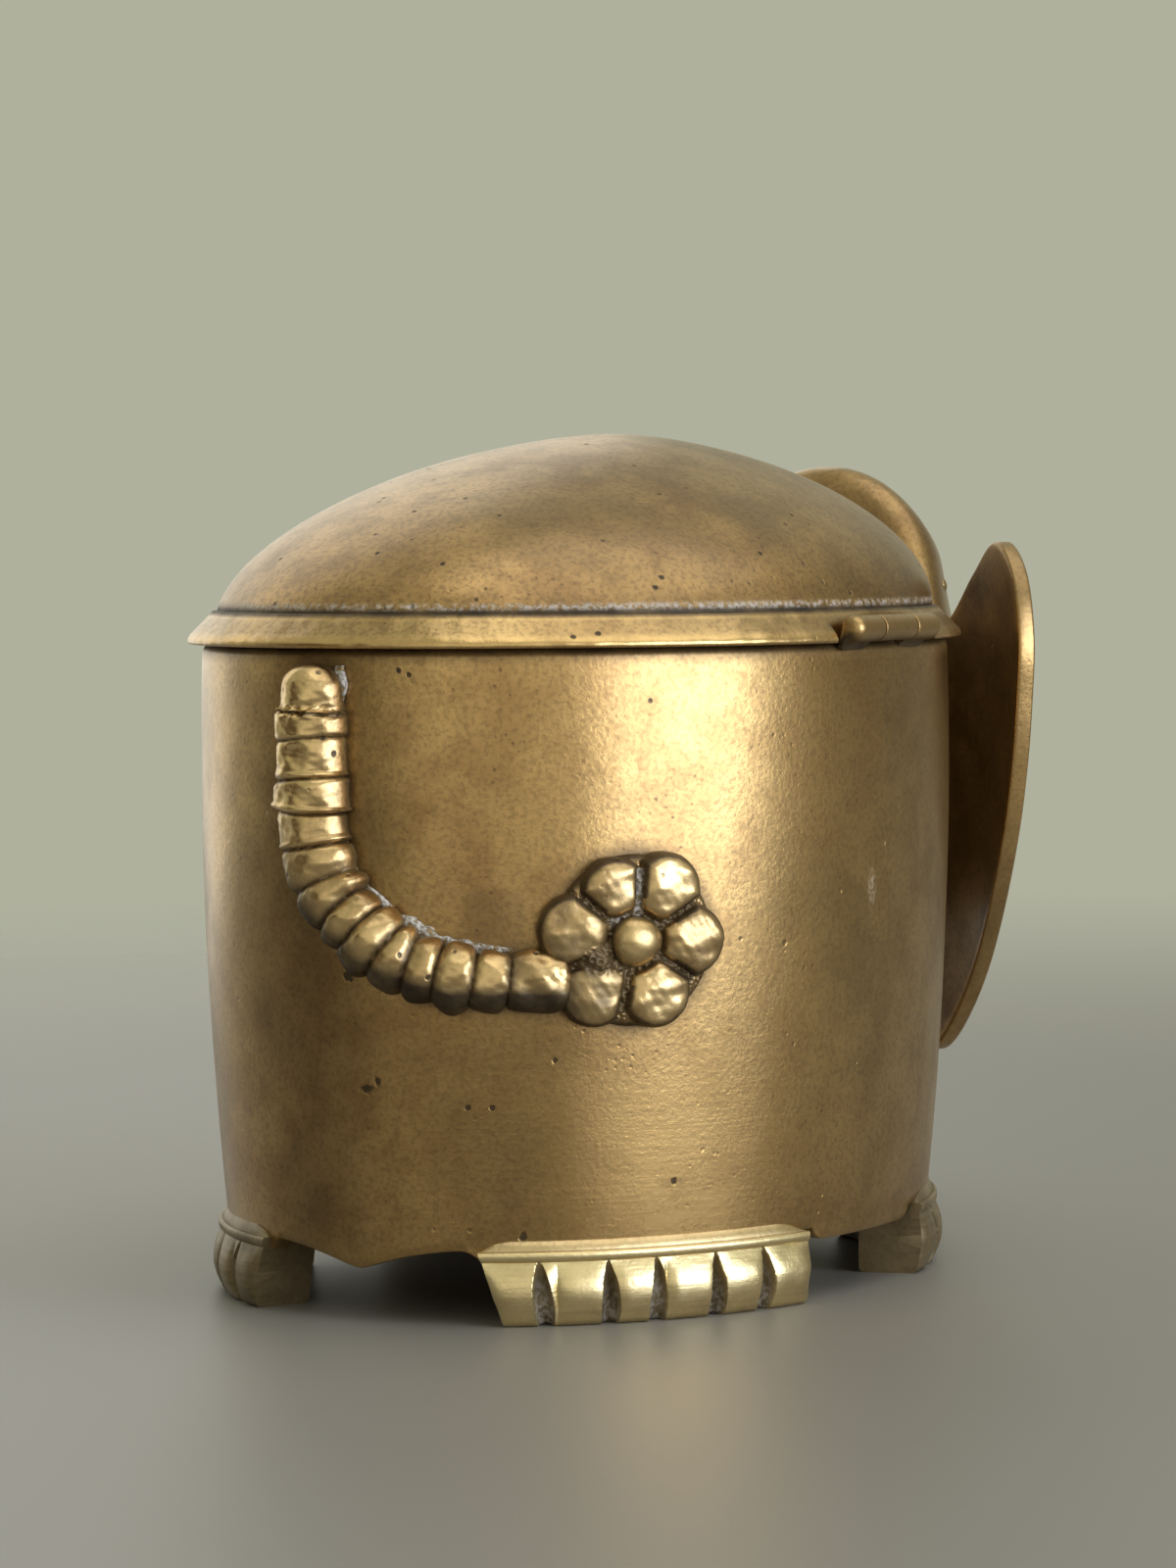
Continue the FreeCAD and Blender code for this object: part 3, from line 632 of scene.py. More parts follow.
def foot(name, across, along, darkening, finish):
    """A curved block with a sloping strip of braze up to the wall, a ledge along its top and leaf-shaped
    grooves that part its face into toes: each groove is half an ellipse across, and its width is the root
    of one less a power of the height. The toes swell as a sine of the height. Darkening is the least painted
    shade over the whole foot."""
    parts = [(0.0, 0.24, 22), (0.24, 0.54, 8), (0.54, 1.0, 42)]
    spans = [(k + start, k + end, count) for k in range(TOES) for start, end, count in parts]
    share = steps(*[(start / TOES, end / TOES, count) for start, end, count in spans])[:, None]
    ledge = FOOT_TOP - LEDGE_HEIGHT
    strip = FOOT_TOP + STRIP_RISE
    face = steps((ledge - 0.1, 0.45, 26))
    inner = FOOT_INSET - FOOT_PROUD
    toe = inner + LEDGE_PROUD
    wall = swell(strip)
    sole = toe + FOOT_LEAN
    section = [(FOOT_DEPTH, FOOT_TOP - 0.3), (wall + 0.4, strip - 0.2), (wall + 0.05, strip)]
    section += [(wall - 0.1, strip - 0.06), (inner + 0.45, FOOT_TOP + 0.12)]
    section += [(inner + 0.42, FOOT_TOP - 0.05), (inner + 0.24, FOOT_TOP)]
    section += [(inner + 0.06, FOOT_TOP - 0.07), (inner, FOOT_TOP - 0.22)]
    section += [(inner, ledge + LEDGE_PROUD), (toe - 0.08, ledge + 0.06), (toe, ledge)]
    section += [(toe + FOOT_LEAN * (1 - z / ledge), z) for z in face]
    section += [(sole + 0.05, 0.2), (sole + 0.35, 0.0), (FOOT_DEPTH - 0.3, 0.0), (FOOT_DEPTH, 0.3)]
    inset, z = np.array(section).T[:, None, :]
    place = share * TOES
    splay = FOOT_SPLAY * np.clip(z / FOOT_TOP, 0, 1) * np.clip(1 - place, 0, 1)
    turn = FOOT_START + (FOOT_END - FOOT_START) * share - splay
    groove = np.clip(np.round(place + 0.1), 1, TOES - 1).astype(int)
    middle = groove + GROOVE_SHIFT[groove - 1]
    width = FOOT_RADIUS * (FOOT_END - FOOT_START) / TOES
    level = np.clip(z / ledge, 0, 1)
    away = np.abs(place - middle + GROOVE_LEAN * (level - 0.5)) * width
    leaf = 0.85 + 0.15 * np.sin(np.pi * np.clip(1.25 * level, 0, 1))
    half = GROOVE_HALF * leaf * np.clip(1 - level ** 2.2, 1e-6, 1) ** 0.6
    front = (inset < sole + 0.4) & (z < ledge + 0.01)
    deep = GROOVE_DEEP * np.sqrt(np.clip(1 - (away / half) ** 2, 0, 1)) * front * (1 - level ** 6)
    round_off = 1 - np.abs(2 * (place - np.floor(place)) - 1) ** 4
    crown = TOE_CROWN * (0.35 + 0.65 * round_off) * front * np.sin(np.pi * level)
    taper = 1 - np.clip(1 - share / 0.07, 0, 1) ** 2 - np.clip(1 - (1 - share) / 0.12, 0, 1) ** 2
    height = np.where(z > FOOT_TOP, FOOT_TOP + (z - FOOT_TOP) * taper, z)
    rows = oval(inset + deep - crown, turn, height)
    rows = rows + FOOT_UNEVEN * (front * wobble(rows, 2.6, 11))[..., None] * np.array([1, 1, 0])
    rows = rows * np.array([across, along, 1])
    shade = np.clip(1.3 * deep / GROOVE_DEEP, 0, 1) ** 0.5
    seam = bump(z - FOOT_TOP, 0.14) * (inset > inner + 0.3) + (z > strip - 0.05) + 0 * share
    rub = (1 - shade) * front + (z > ledge) * (inset < inner + 0.3)
    # Painted shade in the grooves and over the whole foot by darkening; dark joints where the foot and its
    # strip meet the wall
    grime = np.maximum(0.9 * shade + 0.9 * seam, darkening)
    flux = 0.5 * shade * (1.0 - level)
    filed = front * (1 - shade)
    made = skin(name + "_skin", rows, grime=grime, rub=(0.9 - darkening) * rub, ash=flux, filed=filed)
    return fit(made, "body", [name], finish)


def dome_loops(inset, height, share):
    """Loops of a leaning dome: the radius is a power of the cosine and the height a power of the sine of
    an angle that runs from the base to the crown, and each loop moves forward in step with its height."""
    angle = share * np.pi / 2
    out = np.cos(angle) ** (2 / DOME_CROWN)
    rise = np.sin(angle) ** (2 / DOME_SHOULDER)
    turn = full_turn(320)[None]
    return np.stack([
        -(WIDTH_HALF - inset) * out[:, None] * np.sin(turn),
        (LENGTH_HALF - inset) * out[:, None] * np.cos(turn) - LID_LEAN * rise[:, None],
        BAND_TOP + height * rise[:, None] + 0 * turn,
    ], -1)


def lid_dome(finish):
    """Outer dome down to its base, a small groove there, then the inner dome up to its crown."""
    inset = swell(RIM) - LID_OVERHANG + BAND_BEVEL + BAND_LEDGE
    height = LID_TOP - BAND_TOP
    outer = dome_loops(inset, height, 1 - steps((0.004, 0.85, 44), (0.85, 0.985, 20), (0.985, 1.0, 3)))
    inner = dome_loops(inset + LID_WALL, height - LID_WALL, steps((0.0, 0.2, 6), (0.2, 0.996, 20)))
    dent = wobble(outer, 24, 5) * np.clip((outer[..., 2] - BAND_TOP) / 4, 0, 1)
    outer[..., 2] += DENT * dent
    rows = np.concatenate([outer, inner])
    above = outer[..., 2] - BAND_TOP
    # Dark along the joint at the foot of the dome; painted shade over the inner dome
    grime = np.concatenate([bump(np.clip(above - 0.12, 0, None), 0.5), np.full(inner.shape[:2], 0.4)])
    ash = np.concatenate([0.6 * bump(above - 0.55, 0.45), np.zeros(inner.shape[:2])])
    made = skin("lid_dome_skin", rows, grime=grime, ash=ash)
    return fit(made, "lid", ["lid_dome"], finish)


def lid_band(finish):
    """Section of the band carried round the oval: a flat underside, a narrow upright edge, a slanting
    face with a soft arris and a ledge to the dome. Beside the hinge its outer part is cut straight."""
    tip = swell(RIM) - LID_OVERHANG
    hole = swell(RIM) + WALL + RING_PLAY
    face = steps((0.0, 1.0, 10))[1:-1]
    arris = RIM + BAND_EDGE
    ledge = tip + BAND_BEVEL
    section = [(hole, RIM), (tip + 0.5, RIM), (tip + 0.12, RIM + 0.02), (tip + 0.02, RIM + 0.12)]
    section += [(tip, RIM + BAND_EDGE * 0.5), (tip + 0.03, arris - 0.12), (tip + 0.1, arris)]
    section += [(tip + BAND_BEVEL * share, arris + (BAND_TOP - arris) * share) for share in face]
    section += [(ledge - 0.12, BAND_TOP - 0.10), (ledge + 0.05, BAND_TOP), (hole, BAND_TOP)]
    inset, z = np.array(section).T[:, None, :]
    start, end = [math.pi / 2 - math.asin(y / LENGTH_HALF)
                  for y in (HINGE_REAR + NOTCH_GAP, HINGE_FRONT - NOTCH_GAP)]
    crisp = 0.002
    turn = steps(
        (0.0, start - crisp, 150), (start - crisp, start + crisp, 1),
        (start + crisp, end - crisp, 30), (end - crisp, end + crisp, 1),
        (end + crisp, TURN, 420),
    )[:-1, None]
    rows = oval(inset, turn, z)
    uneven = BAND_WAVES * wobble(rows, 9, 21) + BAND_NICKS * wobble(rows, 2.6, 22)
    rows = oval(inset + uneven * (inset < hole), turn, z)
    cut = (turn > start) & (turn < end)
    wall = HINGE_X + KNUCKLE_RADIUS + NOTCH_DEEP
    rows[..., 0] = np.where(cut, np.maximum(rows[..., 0], wall), rows[..., 0])
    level = (z - RIM) / (BAND_TOP - RIM)
    # Dark along the joint under the dome, and painted shade on the underside under the overhang
    grime = np.clip((level - 0.86) / 0.1, 0, 1) + np.clip((inset - tip - 0.4) / 0.5, 0, 1) * (level < 0.05)
    # Brighter on the lower lip, from wear on the arris and partly as a painted highlight, and along an edge
    # near the top
    rub = bump(level - 0.2, 0.25) + 0.5 * bump(level - 0.85, 0.1)
    made = skin("lid_band_skin", rows, ring=True, grime=grime + 0 * turn, rub=rub + 0 * turn)
    return fit(made, "lid", ["lid_band"], finish)


def rod(path, side, out, radius):
    """Round section carried along a path, spanned by the side and out directions at each place; the
    radius has one row for each place and one column for each point of the section."""
    angle = full_turn(radius.shape[1])[None, :, None]
    ring = np.cos(angle) * side[:, None] + np.sin(angle) * out[:, None]
    return path[:, None] + ring * radius[..., None]


def tail_route():
    """The tail's middle line on the wall: a straight drop, a quarter of an ellipse, then a level run,
    held off the wall by a little and sunk at its end; gives places and the length up to each."""
    bend = TAIL_TOP - TAIL_DROP
    quarter = np.linspace(0, np.pi / 2, 80)
    turn = np.concatenate([
        np.full(20, TAIL_TURN), TAIL_TURN + TAIL_SWEEP * (1 - np.cos(quarter)),
        np.linspace(TAIL_TURN + TAIL_SWEEP, TAIL_END, 40)[1:],
    ])
    z = np.concatenate([
        np.linspace(TAIL_TOP, bend, 20, endpoint=False), bend - TAIL_FALL * np.sin(quarter),
        np.full(39, bend - TAIL_FALL),
    ])
    sink = TAIL_SINK * np.clip((turn - TAIL_END) / math.radians(10) + 1, 0, 1) ** 2
    points = oval(swell(z) - TAIL_STANDOFF + sink, turn, z)
    length = np.concatenate([[0], np.cumsum(np.linalg.norm(np.diff(points, axis=0), axis=1))])
    return points, length


def along_route(points, length, at):
    """Places, sideways directions and outward directions at these lengths along a line on the wall."""
    spots, ahead, behind = [
        np.stack([np.interp(at + shift, length, points[:, axis]) for axis in range(3)], -1)
        for shift in (0.0, TAIL_REACH, -TAIL_REACH)
    ]
    way = unit(ahead - behind)
    out = spots * np.array([1 / WIDTH_HALF ** 2, 1 / LENGTH_HALF ** 2, 0])
    out = unit(out - way * np.sum(out * way, axis=1, keepdims=True))
    return spots, np.cross(way, out), out


def tail(finish):
    """Beads on the tail's line: the radius falls to a groove at each listed place as a power of the
    distance from the bead's middle, so that the beads are flat above and rounder below. A thin ring
    stands in the upper grooves, the upper end is a narrower thumb and the lower end is rounded."""
    points, length = tail_route()
    end = length[-1]
    at = steps((0.05, 1.2, 10), (1.2, end - TAIL_TIP, 330), (end - TAIL_TIP, end - 0.02, 14))
    spots, side, out = along_route(points, length, at)
    angle = full_turn(72)
    place = at[:, None] + TAIL_SLANT * np.cos(angle)[None] * np.sin(1.7 * at)[:, None]
    bead = np.searchsorted(TAIL_GROOVES, place)
    starts = np.concatenate([[0.0], TAIL_GROOVES, [end + 3]])
    share = (place - starts[bead]) / (starts[bead + 1] - starts[bead])
    body = np.interp(at, [25, end], [TAIL_ROOT_RADIUS, TAIL_END_RADIUS])[:, None]
    vary = BEAD_VARY * np.sin(bead * 2.4 + 0.7)
    round_power = np.interp(at, BEAD_CHANGE, BEAD_POWERS)[:, None]
    notch = np.abs(2 * share - 1) ** round_power
    deep = np.interp(at, [12, 20], [0.45, 1.0])[:, None] * TAIL_GROOVE_DEEP
    radius = body + vary - deep * notch
    near = np.abs(place[..., None] - TAIL_GROOVES).min(-1)
    ridge = np.abs(place[..., None] - TAIL_GROOVES[2:5] + RIDGE_HALF).min(-1)
    radius = radius + RIDGE_RISE * bump(ridge, RIDGE_HALF)
    first = 1 - np.clip(at / THUMB_ROUND, 0, 1)
    thumb = (TAIL_ROOT_RADIUS - THUMB_SHORTFALL) * np.sqrt(np.clip(1 - first ** 2, 0.0004, 1))
    radius = np.where(place < TAIL_GROOVES[0] - 0.2, thumb[:, None], radius)
    last = np.clip(1 - (end - at) / TAIL_TIP, 0, 1)
    radius = radius * np.sqrt(np.clip(1 - last ** 2, 0.0009, 1))[:, None]
    flat = 1 + 0.05 * np.cos(2 * angle)[None]
    rows = rod(spots, side, out, radius * flat)
    rough = bump(place - TAIL_GROOVES[0], 0.8) * COLLAR_ROUGH * wobble(rows, 0.7, 31)
    lumps = TAIL_LUMPS * wobble(rows, 3.0, 32) + TAIL_NICKS * wobble(rows, 0.9, 33)
    rows = rows + (lumps + rough)[..., None] * out[:, None]
    narrow = np.interp(at, [14, 24], [0.26, 0.55])[:, None]
    groove = np.maximum(0.8 * np.clip(notch, 0, 1) ** 2.5, 0.85 * bump(near, narrow)) * (place > 3)
    # Darker in the grooves; painted shade on the side toward the wall and on the side that faces down
    seat = np.clip((0.15 - np.sin(angle)) / 0.5, 0, 1)[None]
    down = -np.cos(angle)[None] * side[:, 2:] - np.sin(angle)[None] * out[:, 2:]
    grime = np.maximum(0.95 * groove, np.maximum(seat, np.clip(down / 0.42, 0, 1)))
    rub = np.clip(np.sin(angle), 0, 1)[None] * (1 - groove)
    made = skin("tail_skin", rows, grime=grime, rub=rub)
    return fit(made, "body", ["tail"], finish)


def braze(finish):
    """Thin uneven bead of dried flux beside the tail: a flat round section carried along the tail's line,
    moved sideways to the edge where the tail meets the wall, thick only at its top and along its bend."""
    points, length = tail_route()
    at = steps((0.2, length[-1] - 3.0, 320))
    spots, side, out = along_route(points, length, at)
    top = bump(at - BRAZE_TOP, BRAZE_TOP_HALF)
    wide = top * 0.45 + bump(at - BRAZE_BEND, BRAZE_BEND_HALF) * 0.7 + 0.05
    wide = wide * (1 + 0.35 * wobble(spots, 2.2, 36))
    inward = np.sign(side[-1, 2]) * side
    beside = spots + inward * (TAIL_END_RADIUS + 0.05) - out * (TAIL_STANDOFF - 0.15)
    beside = beside - inward * top[:, None] * 0.35
    flat = 1 + 0.4 * np.cos(2 * full_turn(20))
    rows = rod(beside, side, out, np.clip(wide, 0.04, None)[:, None] * flat[None])
    made = skin("tail_braze", rows, ash=np.clip(wide * 6, 0, 1.8)[:, None], grime=0.3)
    made.data.materials.append(finish)
    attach(made, "body")
    return made


def flower_heights(u, v):
    """Height of the flower over the wall at (u to the right, v up) and a mask of its petals. Each petal is
    a cushion between two directions and two reaches: the root of one less a mean of the squares and the
    eighth powers of its scaled radial and sideways distances. A low disc with a heap of crust lies under
    the petals."""
    reach = np.sqrt(u ** 2 + v ** 2)
    best = np.zeros_like(u)
    for start, end, inner, outer, tall in PETALS:
        heading = math.radians((start + end) / 2)
        spread = math.radians((end - start) / 2)
        along = u * math.cos(heading) + v * math.sin(heading)
        across = v * math.cos(heading) - u * math.sin(heading)
        half = np.clip(along * math.tan(spread) - PETAL_GAP / 2 / math.cos(spread), 0.01, None)
        past = np.clip(along - outer + PETAL_END, 0, None)
        half = np.minimum(half, np.sqrt(np.clip(PETAL_END ** 2 - past ** 2, 0.0001, None)))
        radial = (reach - (inner + outer) / 2) / (outer - inner) * 2
        round_part = radial ** 2 + (across / half) ** 2
        square_part = np.abs(radial) ** 8 + np.abs(across / half) ** 8
        scaled = np.where(along > 0.5, 0.33 * round_part + 0.67 * square_part, 2)
        best = np.maximum(best, tall * PETAL_RELIEF * np.clip(1 - scaled, 0, 1) ** 0.5)
    disc = DISC_RELIEF * np.clip(1 - (reach / DISC_RADIUS) ** 8, 0, 1) ** 0.5
    disc = disc - DISC_DISH * bump(reach - BOSS_RADIUS, 1.2)
    crust = bump(np.hypot(u - CRUST_PLACE[0], v - CRUST_PLACE[1]), CRUST_SIZE)
    disc = disc + CRUST_RELIEF * crust
    return np.maximum(best, disc), np.clip((best - disc) / 0.4, 0, 1)


def on_wall(u, v, proud):
    """Points beside the flower's middle on the barrel's wall, u along it, v up it and proud of it."""
    z = FLOWER_HEIGHT + v
    return oval(swell(z) - proud, FLOWER_TURN + u / FLOWER_PACE, z)


def flower(finish):
    """Polar grid over the flower's heights, from a ring under the boss out to where the petals meet the
    wall, closed by a loop just inside the wall. Between the petals it is rough."""
    angle = full_turn(420)[None]
    far = np.linspace(3.0, 9.5, 500)[:, None]
    over = (flower_heights(far * np.cos(angle), far * np.sin(angle))[0] > 0.05)[::-1]
    edge = far[::-1, 0][np.argmax(over, axis=0)][None]
    edge = (edge + np.roll(edge, 1, 1) + np.roll(edge, -1, 1)) / 3
    share = steps((0.05, 0.5, 34), (0.5, 0.93, 50), (0.93, 1.0, 16))[:, None]
    u, v = edge * share * np.cos(angle), edge * share * np.sin(angle)
    tall, petal = flower_heights(u, v)
    flat = np.stack([u, v, 0 * u], -1)
    rough = (1 - petal) * (CRUST_ROUGH * wobble(flat, 0.9, 41) + CRUST_FINE * wobble(flat, 0.45, 44))
    hammered = petal * (PETAL_DENTS * wobble(flat, 2.8, 46) + PETAL_NICKS * wobble(flat, 0.9, 47))
    tall = np.clip(tall + (rough + hammered) * (share < 0.97), 0, None)
    rows = np.concatenate([on_wall(u, v, tall), on_wall(u[-1:], v[-1:], -0.4)])
    nudge = 0.05
    rise_u = flower_heights(u + nudge, v)[0] - flower_heights(u - nudge, v)[0]
    rise_v = flower_heights(u, v + nudge)[0] - flower_heights(u, v - nudge)[0]
    steep = np.sqrt(rise_u ** 2 + rise_v ** 2) / (2 * nudge)
    # Painted shade on the petals' steep sides and on the petals at the lower left, with tone that varies at
    # random; darker in the hollows, where flux lies
    side = np.clip((steep - 0.45) / 0.7, 0, 1) * (share > 0.5)
    hollow = (1 - petal) * (share < 0.85)
    flux = bump(angle - FLUX_GAP, 0.22) + 0.8 * bump(angle - FLUX_RING, 0.5) * (share < 0.42)
    dull = np.clip(0.5 * bump(angle - SHADED_PETALS, 1.1) + 0.35 * wobble(flat, 2.0, 48), 0, 0.7)
    grime = np.maximum(np.maximum(0.9 * side, 0.75 * hollow), dull)
    rub = petal * (1 - side) * np.clip(tall / PETAL_RELIEF, 0, 1) ** 3
    grime = np.concatenate([grime, np.ones_like(u[-1:])])
    ash = np.concatenate([hollow * flux, 0 * u[-1:]])
    rub = np.concatenate([rub, 0 * u[-1:]])
    made = skin("flower_skin", rows, grime=grime, ash=ash, rub=rub)
    return fit(made, "body", ["tail_flower"], finish)


def boss(finish):
    """Round head of the rivet: a low cap whose height is the root of one less a power of the radius."""
    angle = full_turn(72)[None]
    share = steps((0.03, 0.8, 12), (0.8, 1.0, 12))[:, None]
    radius = BOSS_RADIUS * (1 + 0.03 * np.sin(3 * angle + 1))
    low = DISC_RELIEF - DISC_DISH
    tall = low + (BOSS_RELIEF - low) * np.clip(1 - share ** BOSS_POWER, 0, 1) ** 0.5
    u, v = radius * share * np.cos(angle), radius * share * np.sin(angle)
    tall = tall + 0.03 * wobble(np.stack([u, v, 0 * u], -1), 1.2, 43)
    rows = np.concatenate([on_wall(u, v, tall), on_wall(u[-1:], v[-1:], 0.3)])
    layer = np.concatenate([share, [[1.0]]]) + 0 * angle
    grime = np.clip((layer - 0.85) / 0.15, 0, 1)
    made = skin("flower_boss", rows, rub=np.clip(1.2 - layer, 0, 1), grime=grime)
    return fit(made, "body", ["flower_rivet"], finish)


def ear_edge(count):
    """Closed smooth curve through the ear's outline points: cubic pieces whose slope at each point is
    half the step between its two neighbours."""
    before, after = np.roll(EAR_OUTLINE, 1, 0), np.roll(EAR_OUTLINE, -1, 0)
    slope = (after - before) / 2
    share = np.linspace(0, 1, count, endpoint=False)[None, :, None]
    start, end = EAR_OUTLINE[:, None], after[:, None]
    leave, arrive = slope[:, None], np.roll(slope, -1, 0)[:, None]
    curve = start * (2 * share ** 3 - 3 * share ** 2 + 1) + leave * (share ** 3 - 2 * share ** 2 + share)
    curve = curve + end * (3 * share ** 2 - 2 * share ** 3) + arrive * (share ** 3 - share ** 2)
    return curve.reshape(-1, 2)


def ear(name, across, finish):
    """A plate inside the ear's outline, bent to a wide cylinder, with square edges just softened, and
    shallow folds that spread from its root."""
    edge = ear_edge(20)
    share = steps((0.03, 0.9, 22), (0.9, EAR_FLAT, 8))
    arc = np.linspace(0, np.pi / 2, 4)[1:]
    face = np.concatenate([share, EAR_FLAT + (1 - EAR_FLAT) * np.sin(arc)])
    lift = np.concatenate([np.ones(share.size), 0.65 + 0.35 * np.cos(arc)])
    scale = np.concatenate([face, face[::-1]])[:, None]
    half = np.concatenate([lift, -lift[::-1]])[:, None] * EAR_THICK / 2
    flat = EAR_HEART + (edge[None] - EAR_HEART) * scale[..., None]
    reach = flat[..., 0] * EAR_REACH
    z = HEAD_MIDDLE - EAR_FALL + flat[..., 1] * (EAR_RISE + EAR_FALL)
    off = reach - EAR_REACH / 2
    cup = EAR_CUP - np.sqrt(EAR_CUP ** 2 - off ** 2)
    spread = np.arctan2(flat[..., 1] - EAR_ROOT[1], flat[..., 0] - EAR_ROOT[0])
    fold = EAR_FOLD * np.sin(EAR_FOLDS * spread) * (1 - scale ** 3) * scale
    depth = cup + half + fold
    x = reach * math.cos(EAR_BACK) - depth * math.sin(EAR_BACK) + HEAD_WIDE - EAR_SINK
    y = reach * math.sin(EAR_BACK) + depth * math.cos(EAR_BACK) - HEAD_FORWARD - EAR_AHEAD
    rows = np.stack([across * x, y, z], -1)
    # Painted shade over both faces, most on the face toward the barrel; dark at the root; the rim brighter,
    # duller and darker at its top and bottom
    rim = np.clip((scale - 0.93) / 0.05, 0, 1) + 0 * reach
    root = bump(np.clip(flat[..., 0] + 0.05, 0, None), 0.35)
    high = flat[..., 1]
    dull = 0.55 * np.clip((high - 0.78) / 0.12, 0, 1) + 0.45 * np.clip((0.62 - high) / 0.3, 0, 1)
    back = half > 0
    grime = np.maximum(0.7 * root, rim * dull + (1 - rim) * (0.35 + 0.4 * back))
    made = skin(name + "_skin", rows, rub=0.5 * rim * (1 - dull), grime=grime)
    return fit(made, "body", [name], finish)


def head_back(x, z):
    """How far back the head may reach: a little into the barrel's wall, or above its rim the room for the
    lid."""
    lid = z > RIM - HEAD_GAP
    inset = np.where(lid, swell(RIM) - LID_OVERHANG - HEAD_GAP, swell(z) + HEAD_BITE)
    return -(LENGTH_HALF - inset) * np.sqrt(np.clip(1 - (x / (WIDTH_HALF - inset)) ** 2, 0, 1))


def head_form(x, y, z):
    """1 on the head's surface and less inside: a power of the scaled distance from the middle of an egg
    that swells and sinks by bell curves, plus a power of the closeness to its back."""
    up = (z - HEAD_MIDDLE) / np.where(z > HEAD_MIDDLE, HEAD_RISE, HEAD_FALL)
    turn = np.abs(np.arctan2(x, -y - HEAD_FORWARD))
    swelling = 1.0
    for strength, middle, wide, height, tall in HEAD_SWELLINGS:
        swelling = swelling + strength * np.exp(-((turn - middle) / wide) ** 2 - ((up - height) / tall) ** 2)
    egg = np.sqrt((x / HEAD_WIDE) ** 2 + ((y + HEAD_FORWARD) / HEAD_LONG) ** 2 + up ** 2) / swelling
    soft = np.where(z > RIM - HEAD_GAP, HEAD_SOFT, 1.0)
    close = np.clip(1 - (head_back(x, z) - y) / soft, 0, None)
    return egg ** HEAD_BLEND + close ** HEAD_BLEND


def head(finish):
    """Level loops of the head's form: rays from the innermost point of each level are halved again and
    again until they end on the surface."""
    step = RIM - HEAD_GAP
    inner = np.linspace(-HEAD_FORWARD - HEAD_LONG, -HEAD_FORWARD + 2, 400)
    tops = np.linspace(RIM, HEAD_MIDDLE + HEAD_RISE, 600)
    inside = head_form(0.0, inner[None], tops[:, None]).min(1) < 0.998
    top = tops[inside].max()
    low = HEAD_MIDDLE - HEAD_FALL * np.cos(np.linspace(0.03, 1.0, 40) * np.pi / 2)
    low = np.concatenate([low, np.linspace(HEAD_MIDDLE, step - 0.01, 8)[1:]])
    high = step + 0.01 + (top - step) * np.sin(np.linspace(0, 1, 50) * np.pi / 2)
    z = np.minimum(np.concatenate([low, high]), top)[:, None]
    heart = inner[np.argmin(head_form(0.0, inner[None], z), axis=1)][:, None]
    angle = full_turn(240)[None]
    near = np.zeros((z.size, angle.size))
    far = np.full_like(near, HEAD_BEYOND)
    for _ in range(HEAD_HALVINGS):
        reach = (near + far) / 2
        within = head_form(reach * np.sin(angle), heart - reach * np.cos(angle), z) < 1
        near, far = np.where(within, reach, near), np.where(within, far, reach)
    rows = np.stack([near * np.sin(angle), heart - near * np.cos(angle), z + 0 * near], -1)
    # Painted shade on the upper back of the head, facing the lid
    high = np.clip((rows[..., 2] - RIM - 4) / 6, 0, 1)
    rear = np.clip((rows[..., 1] + HEAD_FORWARD + 9) / 5, 0, 1)
    made = skin("head_skin", rows, grime=0.3 * high * rear)
    return fit(made, "body", ["head_shell"], finish)


def trunk_line(distance):
    """Places and angles along the trunk: a bend, a straight run and a curl the other way."""
    upper = TRUNK_UPPER_BEND * (TRUNK_START - TRUNK_HANG)
    bend = TRUNK_START - np.minimum(distance, upper) / TRUNK_UPPER_BEND
    run = np.clip(distance - upper, 0, TRUNK_RUN)
    curl = TRUNK_HANG + np.clip(distance - upper - TRUNK_RUN, 0, None) / TRUNK_LOWER_BEND
    forward = TRUNK_UPPER_BEND * (math.sin(TRUNK_START) - np.sin(bend)) + run * math.cos(TRUNK_HANG)
    forward = forward + TRUNK_LOWER_BEND * (np.sin(curl) - math.sin(TRUNK_HANG))
    rise = TRUNK_UPPER_BEND * (np.cos(bend) - math.cos(TRUNK_START)) + run * math.sin(TRUNK_HANG)
    rise = rise + TRUNK_LOWER_BEND * (math.cos(TRUNK_HANG) - np.cos(curl))
    front = HEAD_FORWARD + HEAD_LONG - TRUNK_SINK
    spots = np.stack([0 * rise, -front - forward, HEAD_MIDDLE - TRUNK_BELOW + rise], -1)
    angle = np.where(distance < upper, bend, curl)
    return spots, angle


